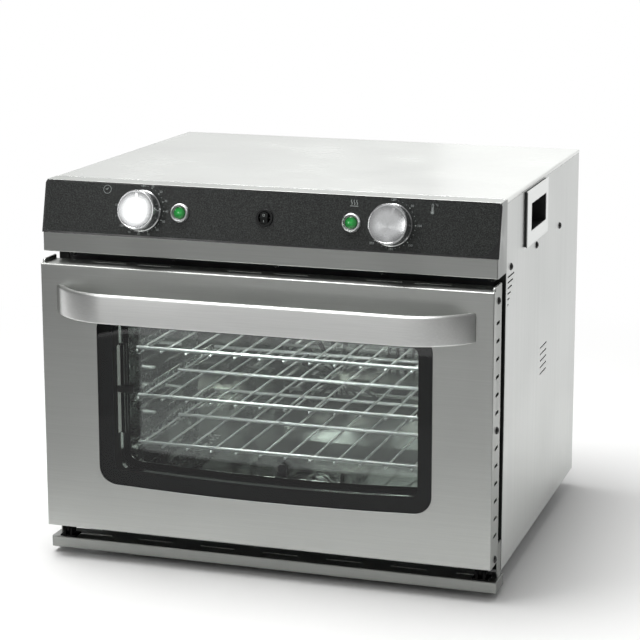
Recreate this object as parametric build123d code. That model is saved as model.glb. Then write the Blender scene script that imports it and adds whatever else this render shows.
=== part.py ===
from build123d import *
from math import asin, atan, cos, degrees, radians, sin, tan
import os

# Countertop convection oven: stainless casing with a sloped control fascia, a drop-down
# glass door, three wire racks and a fan behind a baffle.
#
# Millimetres. X to the right, Y to the back, Z up. While the pieces are modelled, Y = 0 is the
# seam plane where the side panels begin and Z = 0 is the surface that the oven stands on.
# On writing, everything moves along Y so that the origin is under the middle of the whole.

# Sheet thicknesses and general gaps
casing_t = 1.0
door_t = 1.0
frame_t = 1.2
liner_t = 1.0
bend_r = 1.6
touch_gap = 0.3
slip = 0.05

# Casing
body_w = 600.0
body_d = 455.0
body_h = 500.0
panel_z0 = 26.0
flange_w = 15.0
cover_lip = 5.0
half_w = body_w / 2
inner_half = half_w - casing_t

# Feet and base pan
foot_h = 24.0
foot_r = 17.0
foot_inset_x = 50.0
foot_inset_y = 45.0
pan_wall_h = 22.0
pan_half = inner_half - touch_gap

# Front ledge under the door
ledge_over = 2.5
ledge_front = -38.0
ledge_top = 22.5
ledge_bottom = 8.0
ledge_slot_l = 48.0
ledge_slot_w = 4.0
ledge_slot_pitch = 86.5
ledge_slot_count = 7
ledge_slot_x0 = -249.0
ledge_slot_y = -19.0
cheek_t = 2.0
cheek_in = 1.0
cheek_y0 = -17.3
cheek_top = 66.0

# Fascia and its black overlay
fascia_top_front = -30.0
fascia_low_front = -45.5
slope_rise = 66.0
band_front = -45.0
band_h = 25.0
band_top = body_h - slope_rise
band_bottom = band_top - band_h
overlay_t = 2.0
overlay_over = 1.0
overlay_corner_r = 5.0

# Controls, measured along the sloped overlay from its middle
knob_x = 165.0
lamp_x = 113.0
knob_r = 25.0
knob_base_r = 26.5
knob_h = 22.0
knob_gap = 0.6
knob_base_h = 3.4
knob_rim_w = 1.3
knob_dish = 0.5
mark_r = 19.5
mark_w = 2.6
mark_depth = 0.6
heat_knob_turn = 19.0
shaft_r = 3.0
shaft_in_knob = 14.0
shaft_in_body = 14.0
bush_r = 5.0
bush_hole_gap = 0.3
control_body_w = 44.0
control_body_h = 46.0
control_body_d = 34.0
bezel_r = 12.0
bezel_h = 5.5
bezel_mouth_r = 9.3
lens_r = 9.1
lens_h = 6.2
lamp_neck_r = 7.0
lamp_neck_l = 26.0
switch_r = 11.2
switch_flange_h = 2.2
switch_mouth_r = 8.2
switch_neck_r = 9.9
switch_depth = 20.0
rocker_r = 7.4
rocker_l = 7.0
rocker_pin_r = 1.2
rocker_tilt = 7.0

# Door
door_gap_x = 1.0
door_gap_top = 14.0
door_front = -57.0
door_back = -18.0
door_z0 = 44.0
door_z1 = band_bottom - door_gap_top
door_half = half_w - door_gap_x
door_lip_h = 5.0
door_lip_w = 4.0
door_lip_inset = 6.0
top_slot_l = 48.0
top_slot_w = 6.0
top_slot_y = -31.0
top_slot_pitch = 62.0
top_slot_group_pitch = 184.0
side_slot_l = 17.0
side_slot_w = 4.4
side_slot_y = -35.0
side_slot_count = 6
side_slot_end = 17.4
side_slot_pitch = (door_z1 - door_z0 - 2 * side_slot_end) / (2 * (side_slot_count + 1))
side_screw_mid_z = (door_z0 + door_z1) / 2 - 1.5
plug_half = door_half - 59.0
plug_z0 = door_z0 + 5.0
plug_z1 = door_z1 - 15.0
plug_face = -6.1
plug_corner_r = 14.0

# Door window, as outlines that share one shape
window_half = door_half - 76.0
window_top = door_z1 - 57.0
window_low = door_z0 + 65.0
window_sag = 5.5
window_corner_r = 24.0
border_w = 19.5
glass_t = 4.0
glass_lap = 9.0
border_t = 0.5
inner_window_half = window_half - 22.0
inner_window_low = window_low + 18.0
inner_window_corner_r = 12.0
inner_glass_lap = 12.0
rail_w = 7.0
rail_h = 6.0
rail_l = 118.0
rail_up = 97.0
rail_mid_z = inner_window_low + rail_up
clip_bar_l = 21.0
clip_bar_h = 8.0
clip_button_x = 13.0
clip_button_r = 6.0
clip_button_h = 5.0
clip_foot_w = 13.0

# Handle: a bowed channel strip
handle_front = -102.0
handle_z = door_z1 - 45.0
handle_h = 37.0
handle_t = 1.5
handle_return = 8.0
handle_half = door_half - 22.0
handle_end_angle = 55.0
handle_bend_r = 100.0
handle_tab_l = 26.0
handle_tab_h = 24.0

# Hinge at the door's bottom corners
hinge_y = -30.0
hinge_z = 33.0
hinge_x = half_w - 19.0
hinge_pin_r = 3.0
hinge_eye_r = 6.0
hinge_ear_t = 4.0
hinge_lug_t = 3.0
hinge_side_gap = 1.2
hinge_plate_t = 2.0
hinge_leaf_l = 30.0

# Cavity
cavity_half = half_w - 75.0
cavity_z0 = 56.0
cavity_z1 = band_bottom - 44.0
cavity_back = body_d - 70.0
mouth_z0 = 60.0
floor_rise = 8.0
liner_flange = 10.0
wool_t = 22.0
gasket_r = 3.4
gasket_off = 6.0

# Racks and their supports
rack_levels = 4
rack_first_up = 18.5
rack_head_room = 49.0
rack_pitch = (cavity_z1 - cavity_z0 - rack_head_room) / rack_levels
rack_half = cavity_half - 19.0
rack_front = 35.0
rack_back = cavity_back - 70.0
rack_rod_r = 2.6
rack_wire_r = 1.5
rack_wire_count = 13
rack_wire_over = 3.0
weld_sink = 0.3
runner_y = 22.0
runner_l = rack_back + 7.0 - runner_y
runner_lip = 8.0
runner_t = 1.2
post_w = 6.0
post_d = 11.0
post_ys = [60.0, rack_back - 53.0]

# Fan, baffle and heater
fan_x = -22.0
fan_z = 165.0
fan_r = 62.0
fan_hub_r = 11.0
fan_blade_count = 12
fan_blade_w = 26.0
fan_blade_in = 26.0
fan_shaft_r = 4.0
fan_gap = 9.0
baffle_y = cavity_back - 50.0
baffle_half = 108.0
baffle_foot_half = 140.0
baffle_z0 = 68.0
baffle_z1 = 264.0
baffle_t = 1.0
guard_r = 60.0
guard_eye_r = 12.0
guard_count = 18
guard_slot_w = 8.0
outlet_x = 54.0
outlet_z = 195.0
outlet_l = 46.0
outlet_w = 5.0
outlet_pitch = 12.0
outlet_count = 4
heater_ring_r = 74.0
heater_wire_r = 3.3
heater_leg_half = 12.0
motor_r = 34.0
motor_l = 32.0
bulb_r = 3.0
bulb_l = 90.0
bulb_clip_h = 4.0

# Side grips and vents
grip_y0 = 98.0
grip_y1 = 225.0
grip_plate_h = 72.6
grip_top_gap = 6.0
grip_z1 = body_h - grip_top_gap
grip_z0 = grip_z1 - grip_plate_h
grip_win_y0 = grip_y0 + 24.0
grip_win_y1 = grip_y1 - 14.0
grip_win_z0 = grip_z0 + 18.1
grip_win_z1 = grip_z1 - 18.6
grip_frame_t = 2.6
grip_plate_t = 1.4
grip_depth = 25.0
grip_wall = 2.0
grip_collar_w = 9.0
grip_collar_t = 2.5
vent_w = 2.2
low_vent_y = 210.0
low_vent_l = 40.0
low_vent_z = 228.0
low_vent_pitch = 9.0
low_vent_count = 5
front_vent_y = 8.0
front_vent_l = 35.0
front_vent_step = 5.8
front_vent_pitch = 7.0
front_vent_count = 6
front_vent_z = band_bottom - 43.0

# Screws
screw_r = 2.0
screw_head_r = 4.8
screw_head_h = 3.0
screw_l = 8.0
screw_hole_gap = 0.2
side_screw_z = band_bottom + 3.0
side_screw_y0 = 24.0
side_screw_pitch = 149.0
side_screw_count = 3
fascia_screw_left_in = 40.0
fascia_screw_right_in = 8.0
fascia_screw_count = 5
fascia_screw_y = -38.4
fascia_screw_head_h = 4.2
shelf_wall_h = 14.0

# Back panel
back_slot_x = 110.0
back_slot_l = 70.0
back_slot_w = 4.0
back_slot_pitch = 12.0
back_slot_count = 8
gland_inset = 100.0
gland_x = -(half_w - gland_inset)
gland_z = 80.0
gland_r = 11.0
gland_nut_r = 15.0
gland_nut_h = 6.0
gland_out = 16.0
gland_bore_r = 5.0

# Derived places that several pieces share
tilt = atan((fascia_top_front - fascia_low_front) / (body_h - band_top))
slope_len = (body_h - band_top) / cos(tilt)
slope = Plane(
    origin=(0, (fascia_top_front + fascia_low_front) / 2, (body_h + band_top) / 2),
    x_dir=(1, 0, 0),
    z_dir=(0, -cos(tilt), sin(tilt)),
)
skin_back = -(overlay_t + casing_t)
frame_y0 = casing_t
frame_y1 = frame_y0 + frame_t
back_y1 = body_d - casing_t
back_y0 = back_y1 - frame_t
shelf_z = band_bottom
base_z = foot_h
base_top = foot_h + frame_t
gland_back = body_d + gland_out
origin_y = (handle_front + gland_back) / 2
rack_zs = [cavity_z0 + rack_first_up + rack_pitch * i for i in range(rack_levels)]
wire_drop = rack_rod_r + rack_wire_r - weld_sink
outer_glass_front = door_front + door_t
inner_glass_back = plug_face - door_t
inner_glass_front = inner_glass_back - glass_t
fan_back = cavity_back - fan_gap
motor_y = cavity_back + liner_t + 2 * touch_gap + wool_t


def block(x0, x1, y0, y1, z0, z1):
    """Box between two corners."""
    return Pos((x0 + x1) / 2, (y0 + y1) / 2, (z0 + z1) / 2) * Box(x1 - x0, y1 - y0, z1 - z0)


def rod(a, b, r):
    """Round bar from point a to point b."""
    start, end = Vector(*a), Vector(*b)
    axis = end - start
    plane = Plane(origin=start, z_dir=axis.normalized())
    return plane * Cylinder(r, axis.length, align=(Align.CENTER, Align.CENTER, Align.MIN))


def wire8(a, b, r):
    """Wire of eight flats from point a to point b, flats square to X, Y or Z."""
    start, end = Vector(*a), Vector(*b)
    axis = end - start
    side = Vector(0, 0, 1) if abs(axis.Z) < abs(axis.X) + abs(axis.Y) else Vector(1, 0, 0)
    plane = Plane(origin=start, x_dir=side, z_dir=axis.normalized())
    section = RegularPolygon(r, 8, major_radius=False, rotation=22.5)
    return extrude(plane * section, amount=axis.length)


def slot_cut(length, width, depth):
    """Round-ended cutter along X, through a sheet that lies on the XY plane."""
    return extrude(SlotOverall(length, width), amount=depth, both=True)


def screw(length=screw_l, head_h=screw_head_h):
    """Dome-headed screw along +Z: the head sits on the plane, the shank goes down."""
    head = Cylinder(screw_head_r, head_h, align=(Align.CENTER, Align.CENTER, Align.MIN))
    head = chamfer(head.edges().sort_by(Axis.Z)[-1], head_h * 0.4)
    shank = Cylinder(screw_r, length, align=(Align.CENTER, Align.CENTER, Align.MAX))
    return head + shank


def joined(pieces):
    """One compound of separate solids."""
    return Compound(children=[solid for piece in pieces for solid in piece.solids()])


def mirrored(piece):
    """The same piece on the other side of the middle plane."""
    return mirror(piece, about=Plane.YZ)


def window_face(half, top, low, sag, corner_r):
    """Window outline on XZ: straight top and sides, a bottom edge that bows down."""
    bottom = ThreePointArc((-half, low), (0, low - sag), (half, low))
    sides = Polyline((-half, low), (-half, top), (half, top), (half, low))
    face = make_face([bottom, sides])
    return fillet(face.vertices(), corner_r)


def window_block(face, y0, y1):
    """Prism of a window outline from y0 to y1."""
    plane = Plane(origin=(0, y0, 0), x_dir=(1, 0, 0), z_dir=(0, -1, 0))
    return extrude(plane * face, amount=-(y1 - y0))


def on_slope(piece, x, h=0.0):
    """Place a piece on the control panel, x across and h above the overlay."""
    return slope * Pos(x, 0, h) * piece


# Casing


def make_side_panel():
    """Right side panel: a folded sheet with flanges, vents and the grip opening."""
    top = body_h - cover_lip - touch_gap
    shell = block(half_w - flange_w, half_w, 0, body_d, panel_z0, top)
    corners = shell.edges().filter_by(Axis.Z).group_by(Axis.X)[-1]
    shell = fillet(corners, bend_r)
    shell -= block(half_w - flange_w - 1, inner_half, casing_t, body_d - casing_t,
                   panel_z0 - 1, top + 1)
    face = Plane(origin=(half_w, 0, 0), x_dir=(0, 1, 0), z_dir=(1, 0, 0))
    for i in range(front_vent_count):
        length = front_vent_l - front_vent_step * (front_vent_count - 1 - i)
        z = front_vent_z + front_vent_pitch * i
        shell -= face * Pos(front_vent_y + length / 2, z) * slot_cut(length, vent_w, 2 * casing_t)
    for i in range(low_vent_count):
        z = low_vent_z + low_vent_pitch * i
        y = low_vent_y + low_vent_l / 2
        shell -= face * Pos(y, z) * slot_cut(low_vent_l, vent_w, 2 * casing_t)
    for i in range(side_screw_count):
        hole = Cylinder(screw_r + screw_hole_gap, 4 * casing_t)
        shell -= face * Pos(side_screw_y0 + side_screw_pitch * i, side_screw_z) * hole
    gap = grip_collar_w + touch_gap
    shell -= block(inner_half - 1, half_w + 1, grip_win_y0 - gap, grip_win_y1 + gap,
                   grip_win_z0 - gap, grip_win_z1 + gap)
    return shell


def make_top_cover():
    """Top sheet whose edges turn down over the side panels and the back."""
    shell = block(-half_w, half_w, touch_gap, body_d, body_h - cover_lip, body_h)
    top_edges = shell.faces().sort_by(Axis.Z)[-1].edges()
    long_edges = top_edges.filter_by(Axis.Y) + [top_edges.sort_by(Axis.Y)[-1]]
    shell = fillet(long_edges, bend_r)
    return shell - block(-inner_half, inner_half, -1, body_d - casing_t,
                         body_h - cover_lip - 1, body_h - casing_t)


def make_back_panel():
    """Back sheet with two banks of vent slots and the hole for the cord gland."""
    sheet = block(-pan_half, pan_half, back_y0, back_y1, base_top + touch_gap,
                  body_h - casing_t - touch_gap)
    face = Plane(origin=(0, back_y1, 0), x_dir=(-1, 0, 0), z_dir=(0, 1, 0))
    for x in (-back_slot_x, back_slot_x):
        for i in range(back_slot_count):
            z = fan_z + back_slot_pitch * (i - (back_slot_count - 1) / 2)
            sheet -= face * Pos(x, z) * slot_cut(back_slot_l, back_slot_w, 2 * frame_t)
    sheet -= face * Pos(-gland_x, gland_z) * Cylinder(gland_r + touch_gap, 4 * frame_t)
    return sheet


def make_base_pan():
    """Floor pan of the casing, with walls on the sides and the back."""
    pan = block(-pan_half, pan_half, frame_y1 + touch_gap, back_y0, base_z, base_z + pan_wall_h)
    return pan - block(-pan_half + frame_t, pan_half - frame_t, 0, back_y0 - frame_t,
                       base_top, base_z + pan_wall_h + 1)


def make_feet():
    """Four rubber feet with a chamfered sole."""
    foot = Cylinder(foot_r, foot_h, align=(Align.CENTER, Align.CENTER, Align.MIN))
    foot = chamfer(foot.edges().sort_by(Axis.Z)[0], 2.0)
    x = half_w - foot_inset_x
    ys = (foot_inset_y, body_d - foot_inset_y)
    return joined([Pos(sx * x, y, 0) * foot for sx in (-1, 1) for y in ys])


def make_ledge():
    """Folded ledge in front of the base: slots in its top, a cheek at each end of the door."""
    half = half_w + ledge_over
    shell = block(-half, half, ledge_front, -touch_gap, ledge_bottom, ledge_top)
    front = shell.faces().sort_by(Axis.Y)[0].edges().sort_by(Axis.Z)
    shell = fillet(front[-1], bend_r)
    shell -= block(-half + frame_t, half - frame_t, ledge_front + frame_t, 1,
                   ledge_bottom - 1, ledge_top - frame_t)
    for i in range(ledge_slot_count):
        x = ledge_slot_x0 + ledge_slot_pitch * i
        cutter = slot_cut(ledge_slot_l, ledge_slot_w, 2 * frame_t)
        shell -= Pos(x, ledge_slot_y, ledge_top) * cutter
    x1 = half_w - cheek_in
    cheek = block(x1 - cheek_t, x1, cheek_y0, -touch_gap, ledge_top - frame_t, cheek_top)
    return shell + cheek + mirrored(cheek)


def make_front_frame():
    """Face frame behind the door, with the cavity mouth cut in it."""
    top = shelf_z - touch_gap
    sheet = block(-pan_half, pan_half, frame_y0, frame_y1, panel_z0 + casing_t, top)
    return sheet - block(-cavity_half, cavity_half, frame_y0 - 1, frame_y1 + 1,
                         mouth_z0, cavity_z1)


def make_control_shelf():
    """Shelf between the cavity space and the controls, with walls that take the side screws."""
    shelf = block(-pan_half, pan_half, frame_y0, back_y0, shelf_z, shelf_z + shelf_wall_h)
    shelf -= block(-pan_half + frame_t, pan_half - frame_t, 0, back_y0 + 1,
                   shelf_z + frame_t, shelf_z + shelf_wall_h + 1)
    for i in range(side_screw_count):
        y = side_screw_y0 + side_screw_pitch * i
        hole = Rot(0, 90, 0) * Cylinder(screw_r + screw_hole_gap, body_w)
        shelf -= Pos(0, y, side_screw_z) * hole
    return shelf


def make_fascia():
    """Folded control housing, open at the back, with holes for the controls."""
    inset = overlay_t / cos(tilt)
    outline = [
        (0, body_h),
        (fascia_top_front + inset, body_h),
        (fascia_low_front + inset, band_top),
        (band_front, band_top),
        (band_front, band_bottom),
        (0, band_bottom),
    ]
    side = Plane(origin=(0, 0, 0), x_dir=(0, 1, 0), z_dir=(1, 0, 0))
    face = make_face(Polyline(*outline, close=True))
    shell = extrude(side * face, amount=half_w, both=True)
    band = shell.faces().sort_by(Axis.Y)[0].edges()
    shell = fillet(band.filter_by(Axis.Z) + [band.sort_by(Axis.Z)[0]], bend_r)
    hollow = extrude(side * offset(face, -casing_t, kind=Kind.INTERSECTION), amount=inner_half,
                     both=True)
    rear = block(-inner_half, inner_half, -casing_t - 1, 1, band_bottom + casing_t,
                 body_h - casing_t)
    shell -= hollow + rear
    for x, r in control_holes():
        shell -= on_slope(Cylinder(r, 4 * overlay_t), x, -overlay_t)
    for x in fascia_screw_xs():
        shell -= Pos(x, fascia_screw_y, band_bottom) * Cylinder(screw_r + screw_hole_gap, 4)
    return shell


def fascia_screw_xs():
    """Sideways places of the screws under the fascia."""
    first = -half_w + fascia_screw_left_in
    last = half_w - fascia_screw_right_in
    pitch = (last - first) / (fascia_screw_count - 1)
    return [first + pitch * i for i in range(fascia_screw_count)]


def control_holes():
    """Places and radii of the holes through the sloped panel."""
    shaft = bush_r + bush_hole_gap
    return [(-knob_x, shaft), (knob_x, shaft), (-lamp_x, lamp_neck_r + bush_hole_gap),
            (lamp_x, lamp_neck_r + bush_hole_gap), (0, switch_neck_r + bush_hole_gap)]


def make_overlay():
    """Black panel that covers the slope, a little wider than the fascia."""
    plate = Box(body_w + 2 * overlay_over, slope_len, overlay_t,
                align=(Align.CENTER, Align.CENTER, Align.MAX))
    top = plate.edges().filter_by(Axis.Z).group_by(Axis.Y)[-1]
    plate = fillet(top, overlay_corner_r)
    for x, r in control_holes():
        plate -= Pos(x, 0, 0) * Cylinder(r, 4 * overlay_t)
    return (slope * plate) & block(-body_w, body_w, -body_d, 0, band_top, body_h)


# Controls


def make_knob(x, turn):
    """Turned knob with a dished face inside a thin rim, and a small mark near the rim."""
    profile = Polyline(
        (0, knob_gap),
        (knob_base_r, knob_gap),
        (knob_base_r, knob_base_h),
        (knob_r + 0.4, knob_base_h + 1.2),
        (knob_r, knob_h - 1.2),
        (knob_r - 0.9, knob_h),
        (knob_r - 0.9 - knob_rim_w, knob_h),
        (knob_r - 1.6 - knob_rim_w, knob_h - knob_dish),
        (0, knob_h - knob_dish),
        close=True,
    )
    body = revolve(Plane.XZ * make_face(profile), axis=Axis.Z)
    body -= Pos(0, 0, knob_gap) * Cylinder(shaft_r, shaft_in_knob,
                                           align=(Align.CENTER, Align.CENTER, Align.MIN))
    mark = extrude(RegularPolygon(mark_w / 2, 3, rotation=-30), amount=2 * mark_depth, both=True)
    body -= Pos(0, mark_r, knob_h - knob_dish + mark_depth) * mark
    return on_slope(Rot(0, 0, -turn) * body, x)


def make_shaft(x):
    """Shaft from inside a control body to inside its knob."""
    bottom = skin_back - shaft_in_body
    length = knob_gap + shaft_in_knob - bottom
    shaft = Cylinder(shaft_r, length, align=(Align.CENTER, Align.CENTER, Align.MIN))
    return on_slope(shaft, x, bottom)


def make_control_body(x):
    """Timer or thermostat body behind the panel, with the bush that its shaft turns in."""
    body = Box(control_body_w, control_body_h, control_body_d,
               align=(Align.CENTER, Align.CENTER, Align.MAX))
    body = fillet(body.edges().filter_by(Axis.Z), 3.0)
    body = Pos(0, 0, skin_back) * body
    bush = Cylinder(bush_r, -skin_back, align=(Align.CENTER, Align.CENTER, Align.MAX))
    body += bush
    body -= Cylinder(shaft_r + slip, -skin_back + shaft_in_body + touch_gap,
                     align=(Align.CENTER, Align.CENTER, Align.MAX))
    return on_slope(body, x)


def make_lamp_bezel(x):
    """Chromed ring of a pilot lamp, on the neck that goes through the panel."""
    profile = Polyline(
        (bezel_mouth_r - 1.2, 0),
        (bezel_r, 0),
        (bezel_r, bezel_h * 0.45),
        (bezel_r - 0.8, bezel_h * 0.85),
        (bezel_r - 1.8, bezel_h),
        (bezel_mouth_r + 0.3, bezel_h),
        (bezel_mouth_r, bezel_h - 0.8),
        (bezel_mouth_r, 1.2),
        (bezel_mouth_r - 1.2, 1.2),
        close=True,
    )
    ring = revolve(Plane.XZ * make_face(profile), axis=Axis.Z)
    floor = Cylinder(bezel_mouth_r - 1.0, 1.2, align=(Align.CENTER, Align.CENTER, Align.MIN))
    neck = Cylinder(lamp_neck_r, lamp_neck_l, align=(Align.CENTER, Align.CENTER, Align.MAX))
    return on_slope(ring + floor + neck, x)


def make_lamp_lens(x):
    """Green lens with a low crown, seated in its bezel."""
    base = 1.2
    crown = ThreePointArc((0, lens_h), (lens_r * 0.55, lens_h - 0.5), (lens_r - 0.6, lens_h - 1.8))
    rest = Polyline((lens_r - 0.6, lens_h - 1.8), (lens_r - 0.2, base), (0, base), (0, lens_h))
    lens = revolve(Plane.XZ * make_face([crown, rest]), axis=Axis.Z)
    return on_slope(lens, x)


def make_switch_bezel():
    """Round switch body: a flange on the panel and a neck with room for the rocker."""
    flange = Cylinder(switch_r, switch_flange_h, align=(Align.CENTER, Align.CENTER, Align.MIN))
    flange = fillet(flange.edges().sort_by(Axis.Z)[-1], 0.9)
    neck = Cylinder(switch_neck_r, switch_depth, align=(Align.CENTER, Align.CENTER, Align.MAX))
    body = flange + neck
    body -= Pos(0, 0, -rocker_l) * Cylinder(switch_mouth_r, rocker_l + switch_flange_h + 1,
                                            align=(Align.CENTER, Align.CENTER, Align.MIN))
    pin_hole = Rot(0, 90, 0) * Cylinder(rocker_pin_r + slip, 2 * switch_neck_r - 2)
    return on_slope(body - Pos(0, 0, -1.0) * pin_hole, 0)


def make_rocker():
    """Rocker on its cross pin, lying with its lower half pushed in."""
    tall = rocker_l + 2.4
    body = Cylinder(rocker_r, tall)
    hollow = Cylinder(rocker_r * 2.6, tall)
    body &= Pos(0, 0, -rocker_r * 2.6 + tall / 2) * (Rot(0, 90, 0) * hollow)
    body = Pos(0, 0, 0.2) * body
    pin = Rot(0, 90, 0) * Cylinder(rocker_pin_r, 2 * switch_neck_r - 2 - 2 * slip)
    return on_slope(Pos(0, 0, -1.0) * Rot(rocker_tilt, 0, 0) * (body + pin), 0)


# Cavity


def make_liner():
    """Polished oven chamber: open front with a flange, cross-broken floor, holed back."""
    outer = block(-cavity_half - liner_t, cavity_half + liner_t, frame_y1, cavity_back + liner_t,
                  cavity_z0 - liner_t, cavity_z1 + liner_t)
    outer += block(-cavity_half - liner_flange, cavity_half + liner_flange, frame_y1,
                   frame_y1 + liner_t, cavity_z0 - liner_flange, cavity_z1 + liner_flange)
    outer -= block(-cavity_half, cavity_half, frame_y1 - 1, cavity_back, cavity_z0, cavity_z1)
    hump = floor_hump()
    outer = outer + hump - Pos(0, 0, -liner_t) * hump
    back = Plane(origin=(0, cavity_back, 0), x_dir=(-1, 0, 0), z_dir=(0, 1, 0))
    outer -= back * Pos(-fan_x, fan_z) * Cylinder(fan_hub_r, 4 * liner_t)
    for x in heater_leg_xs():
        leg = Cylinder(heater_wire_r + touch_gap, 4 * liner_t)
        outer -= back * Pos(-x, heater_leg_z()) * leg
    return outer


def floor_hump():
    """Low four-sided pyramid that the cross-broken floor rises to."""
    depth = cavity_back - frame_y1
    half_x, half_y = cavity_half - 2, depth / 2 - 2
    middle = frame_y1 + depth / 2
    base = Pos(0, middle, cavity_z0) * Rectangle(2 * half_x, 2 * half_y)
    tip = Pos(0, middle, cavity_z0 + floor_rise) * Rectangle(2.0, 2.0)
    return loft([base, tip], ruled=True)


def make_insulation():
    """Mineral wool blanket round the chamber."""
    y0 = frame_y1 + liner_t + touch_gap
    gap = liner_t + touch_gap
    wrap = block(-cavity_half - gap - wool_t, cavity_half + gap + wool_t, y0,
                 cavity_back + gap + wool_t, cavity_z0 - gap - wool_t, cavity_z1 + gap + wool_t)
    wrap -= block(-cavity_half - gap, cavity_half + gap, y0 - 1, cavity_back + gap,
                  cavity_z0 - gap, cavity_z1 + gap)
    back = Plane(origin=(0, cavity_back, 0), x_dir=(-1, 0, 0), z_dir=(0, 1, 0))
    wrap -= back * Pos(-fan_x, fan_z) * Cylinder(fan_hub_r, 4 * wool_t)
    for x in heater_leg_xs():
        leg = Cylinder(heater_wire_r + touch_gap, 4 * wool_t)
        wrap -= back * Pos(-x, heater_leg_z()) * leg
    return wrap


def make_gasket():
    """Door seal round the cavity mouth, seated on the front frame."""
    half = cavity_half + gasket_off
    low, high = mouth_z0 - gasket_off, cavity_z1 + gasket_off
    corner = 12.0
    plane = Plane(origin=(0, frame_y0 - gasket_r, 0), x_dir=(1, 0, 0), z_dir=(0, -1, 0))
    outline = Pos(0, (low + high) / 2) * RectangleRounded(2 * half, high - low, corner)
    path = (plane * outline).face().outer_wire()
    start = path @ 0
    section = Plane(origin=start, z_dir=path % 0) * RegularPolygon(gasket_r, 8,
                                                                   major_radius=False,
                                                                   rotation=22.5)
    ring = sweep(section, path=path)
    return ring & block(-half_w, half_w, plug_face + touch_gap, frame_y0, 0, body_h)


def make_rack(level):
    """Wire rack: three cross rods over a row of depth wires, one welded piece."""
    z = rack_zs[level]
    low = z - wire_drop
    middle = (rack_front + rack_back) / 2
    grid = None
    for y in (rack_front, middle, rack_back):
        bar = wire8((-rack_half - rack_wire_r, y, z), (rack_half + rack_wire_r, y, z), rack_rod_r)
        grid = bar if grid is None else grid + bar
    pitch = 2 * rack_half / (rack_wire_count - 1)
    over = rack_rod_r + rack_wire_over
    for i in range(rack_wire_count):
        x = -rack_half + pitch * i
        grid += wire8((x, rack_front - over, low), (x, rack_back + over, low), rack_wire_r)
    return grid


def make_rack_support():
    """Right support: two posts on the chamber wall that carry a runner at each level."""
    wall = cavity_half - touch_gap
    low = cavity_z0 + 10
    high = rack_zs[-1] + 30
    frame = None
    for y in post_ys:
        post = block(wall - post_d, wall, y - post_w / 2, y + post_w / 2, low, high)
        post -= block(wall - post_d + runner_t, wall + 1, y - post_w / 2 + runner_t,
                      y + post_w / 2 - runner_t, low - 1, high + 1)
        frame = post if frame is None else frame + post
    for z in rack_zs:
        shelf_top = z - wire_drop - rack_wire_r - touch_gap
        inner = rack_half - 6
        outer = wall - post_d
        frame += block(inner, outer, runner_y, runner_y + runner_l, shelf_top - runner_t, shelf_top)
        frame += block(outer - runner_t, outer, runner_y, runner_y + runner_l,
                       shelf_top - runner_t, shelf_top + runner_lip)
    return frame


def make_baffle():
    """Fan cover on the back wall: guard slots round the eye, outlet slots in sloped flanks."""
    depth = cavity_back - baffle_y
    plan = [(-baffle_half, baffle_y), (baffle_half, baffle_y), (baffle_foot_half, cavity_back),
            (-baffle_foot_half, cavity_back)]
    floor = Plane(origin=(0, 0, baffle_z0))
    tall = baffle_z1 - baffle_z0
    outside = extrude(floor * make_face(Polyline(*plan, close=True)), amount=tall)
    lean = (baffle_foot_half - baffle_half) / depth
    side = baffle_t * (1 + lean ** 2) ** 0.5
    inner_half_x = baffle_half - side + baffle_t * lean
    inner = [(-inner_half_x, baffle_y + baffle_t), (inner_half_x, baffle_y + baffle_t),
             (baffle_foot_half - side, cavity_back), (-baffle_foot_half + side, cavity_back)]
    room = extrude(Pos(0, 0, baffle_t) * floor * make_face(Polyline(*inner, close=True)),
                   amount=tall - 2 * baffle_t)
    cover = outside - room
    face = Plane(origin=(fan_x, baffle_y, fan_z), x_dir=(1, 0, 0), z_dir=(0, -1, 0))
    reach = guard_r - guard_eye_r
    for i in range(guard_count):
        spoke = Rot(0, 0, 360 / guard_count * i) * Pos(guard_eye_r + reach / 2, 0)
        wedge = Polyline((-reach / 2, -guard_slot_w * 0.12), (reach / 2, -guard_slot_w / 2),
                         (reach / 2, guard_slot_w / 2), (-reach / 2, guard_slot_w * 0.12),
                         close=True)
        cover -= face * spoke * extrude(make_face(wedge), amount=2 * baffle_t, both=True)
    for i in range(outlet_count):
        cutter = Box(outlet_w, 4 * baffle_t, outlet_l)
        cover -= Pos(outlet_x + outlet_pitch * i, baffle_y, outlet_z) * cutter
    return cover


def make_fan_wheel():
    """Radial fan: a back disc, straight blades and a hub on the shaft."""
    disc_t = 1.5
    back = fan_back
    plane = Plane(origin=(fan_x, back, fan_z), x_dir=(1, 0, 0), z_dir=(0, -1, 0))
    wheel = Cylinder(fan_r, disc_t, align=(Align.CENTER, Align.CENTER, Align.MIN))
    hub = Cylinder(fan_hub_r - 1, fan_blade_w * 0.7, align=(Align.CENTER, Align.CENTER, Align.MIN))
    wheel += hub
    span = fan_r - fan_blade_in
    for i in range(fan_blade_count):
        blade = Pos(fan_blade_in + span / 2, 0, disc_t + fan_blade_w / 2)
        wheel += Rot(0, 0, 360 / fan_blade_count * i) * blade * Rot(0, 0, 18) * \
            Box(span, disc_t, fan_blade_w + 0.4)
    wheel &= Cylinder(fan_r, 4 * fan_blade_w)
    wheel -= Cylinder(fan_shaft_r, 4 * fan_blade_w)
    return plane * wheel


def make_fan_shaft():
    """Motor shaft that carries the fan wheel."""
    front = fan_back - fan_blade_w * 0.7
    return rod((fan_x, front, fan_z), (fan_x, motor_y + motor_l * 0.6, fan_z), fan_shaft_r)


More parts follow.
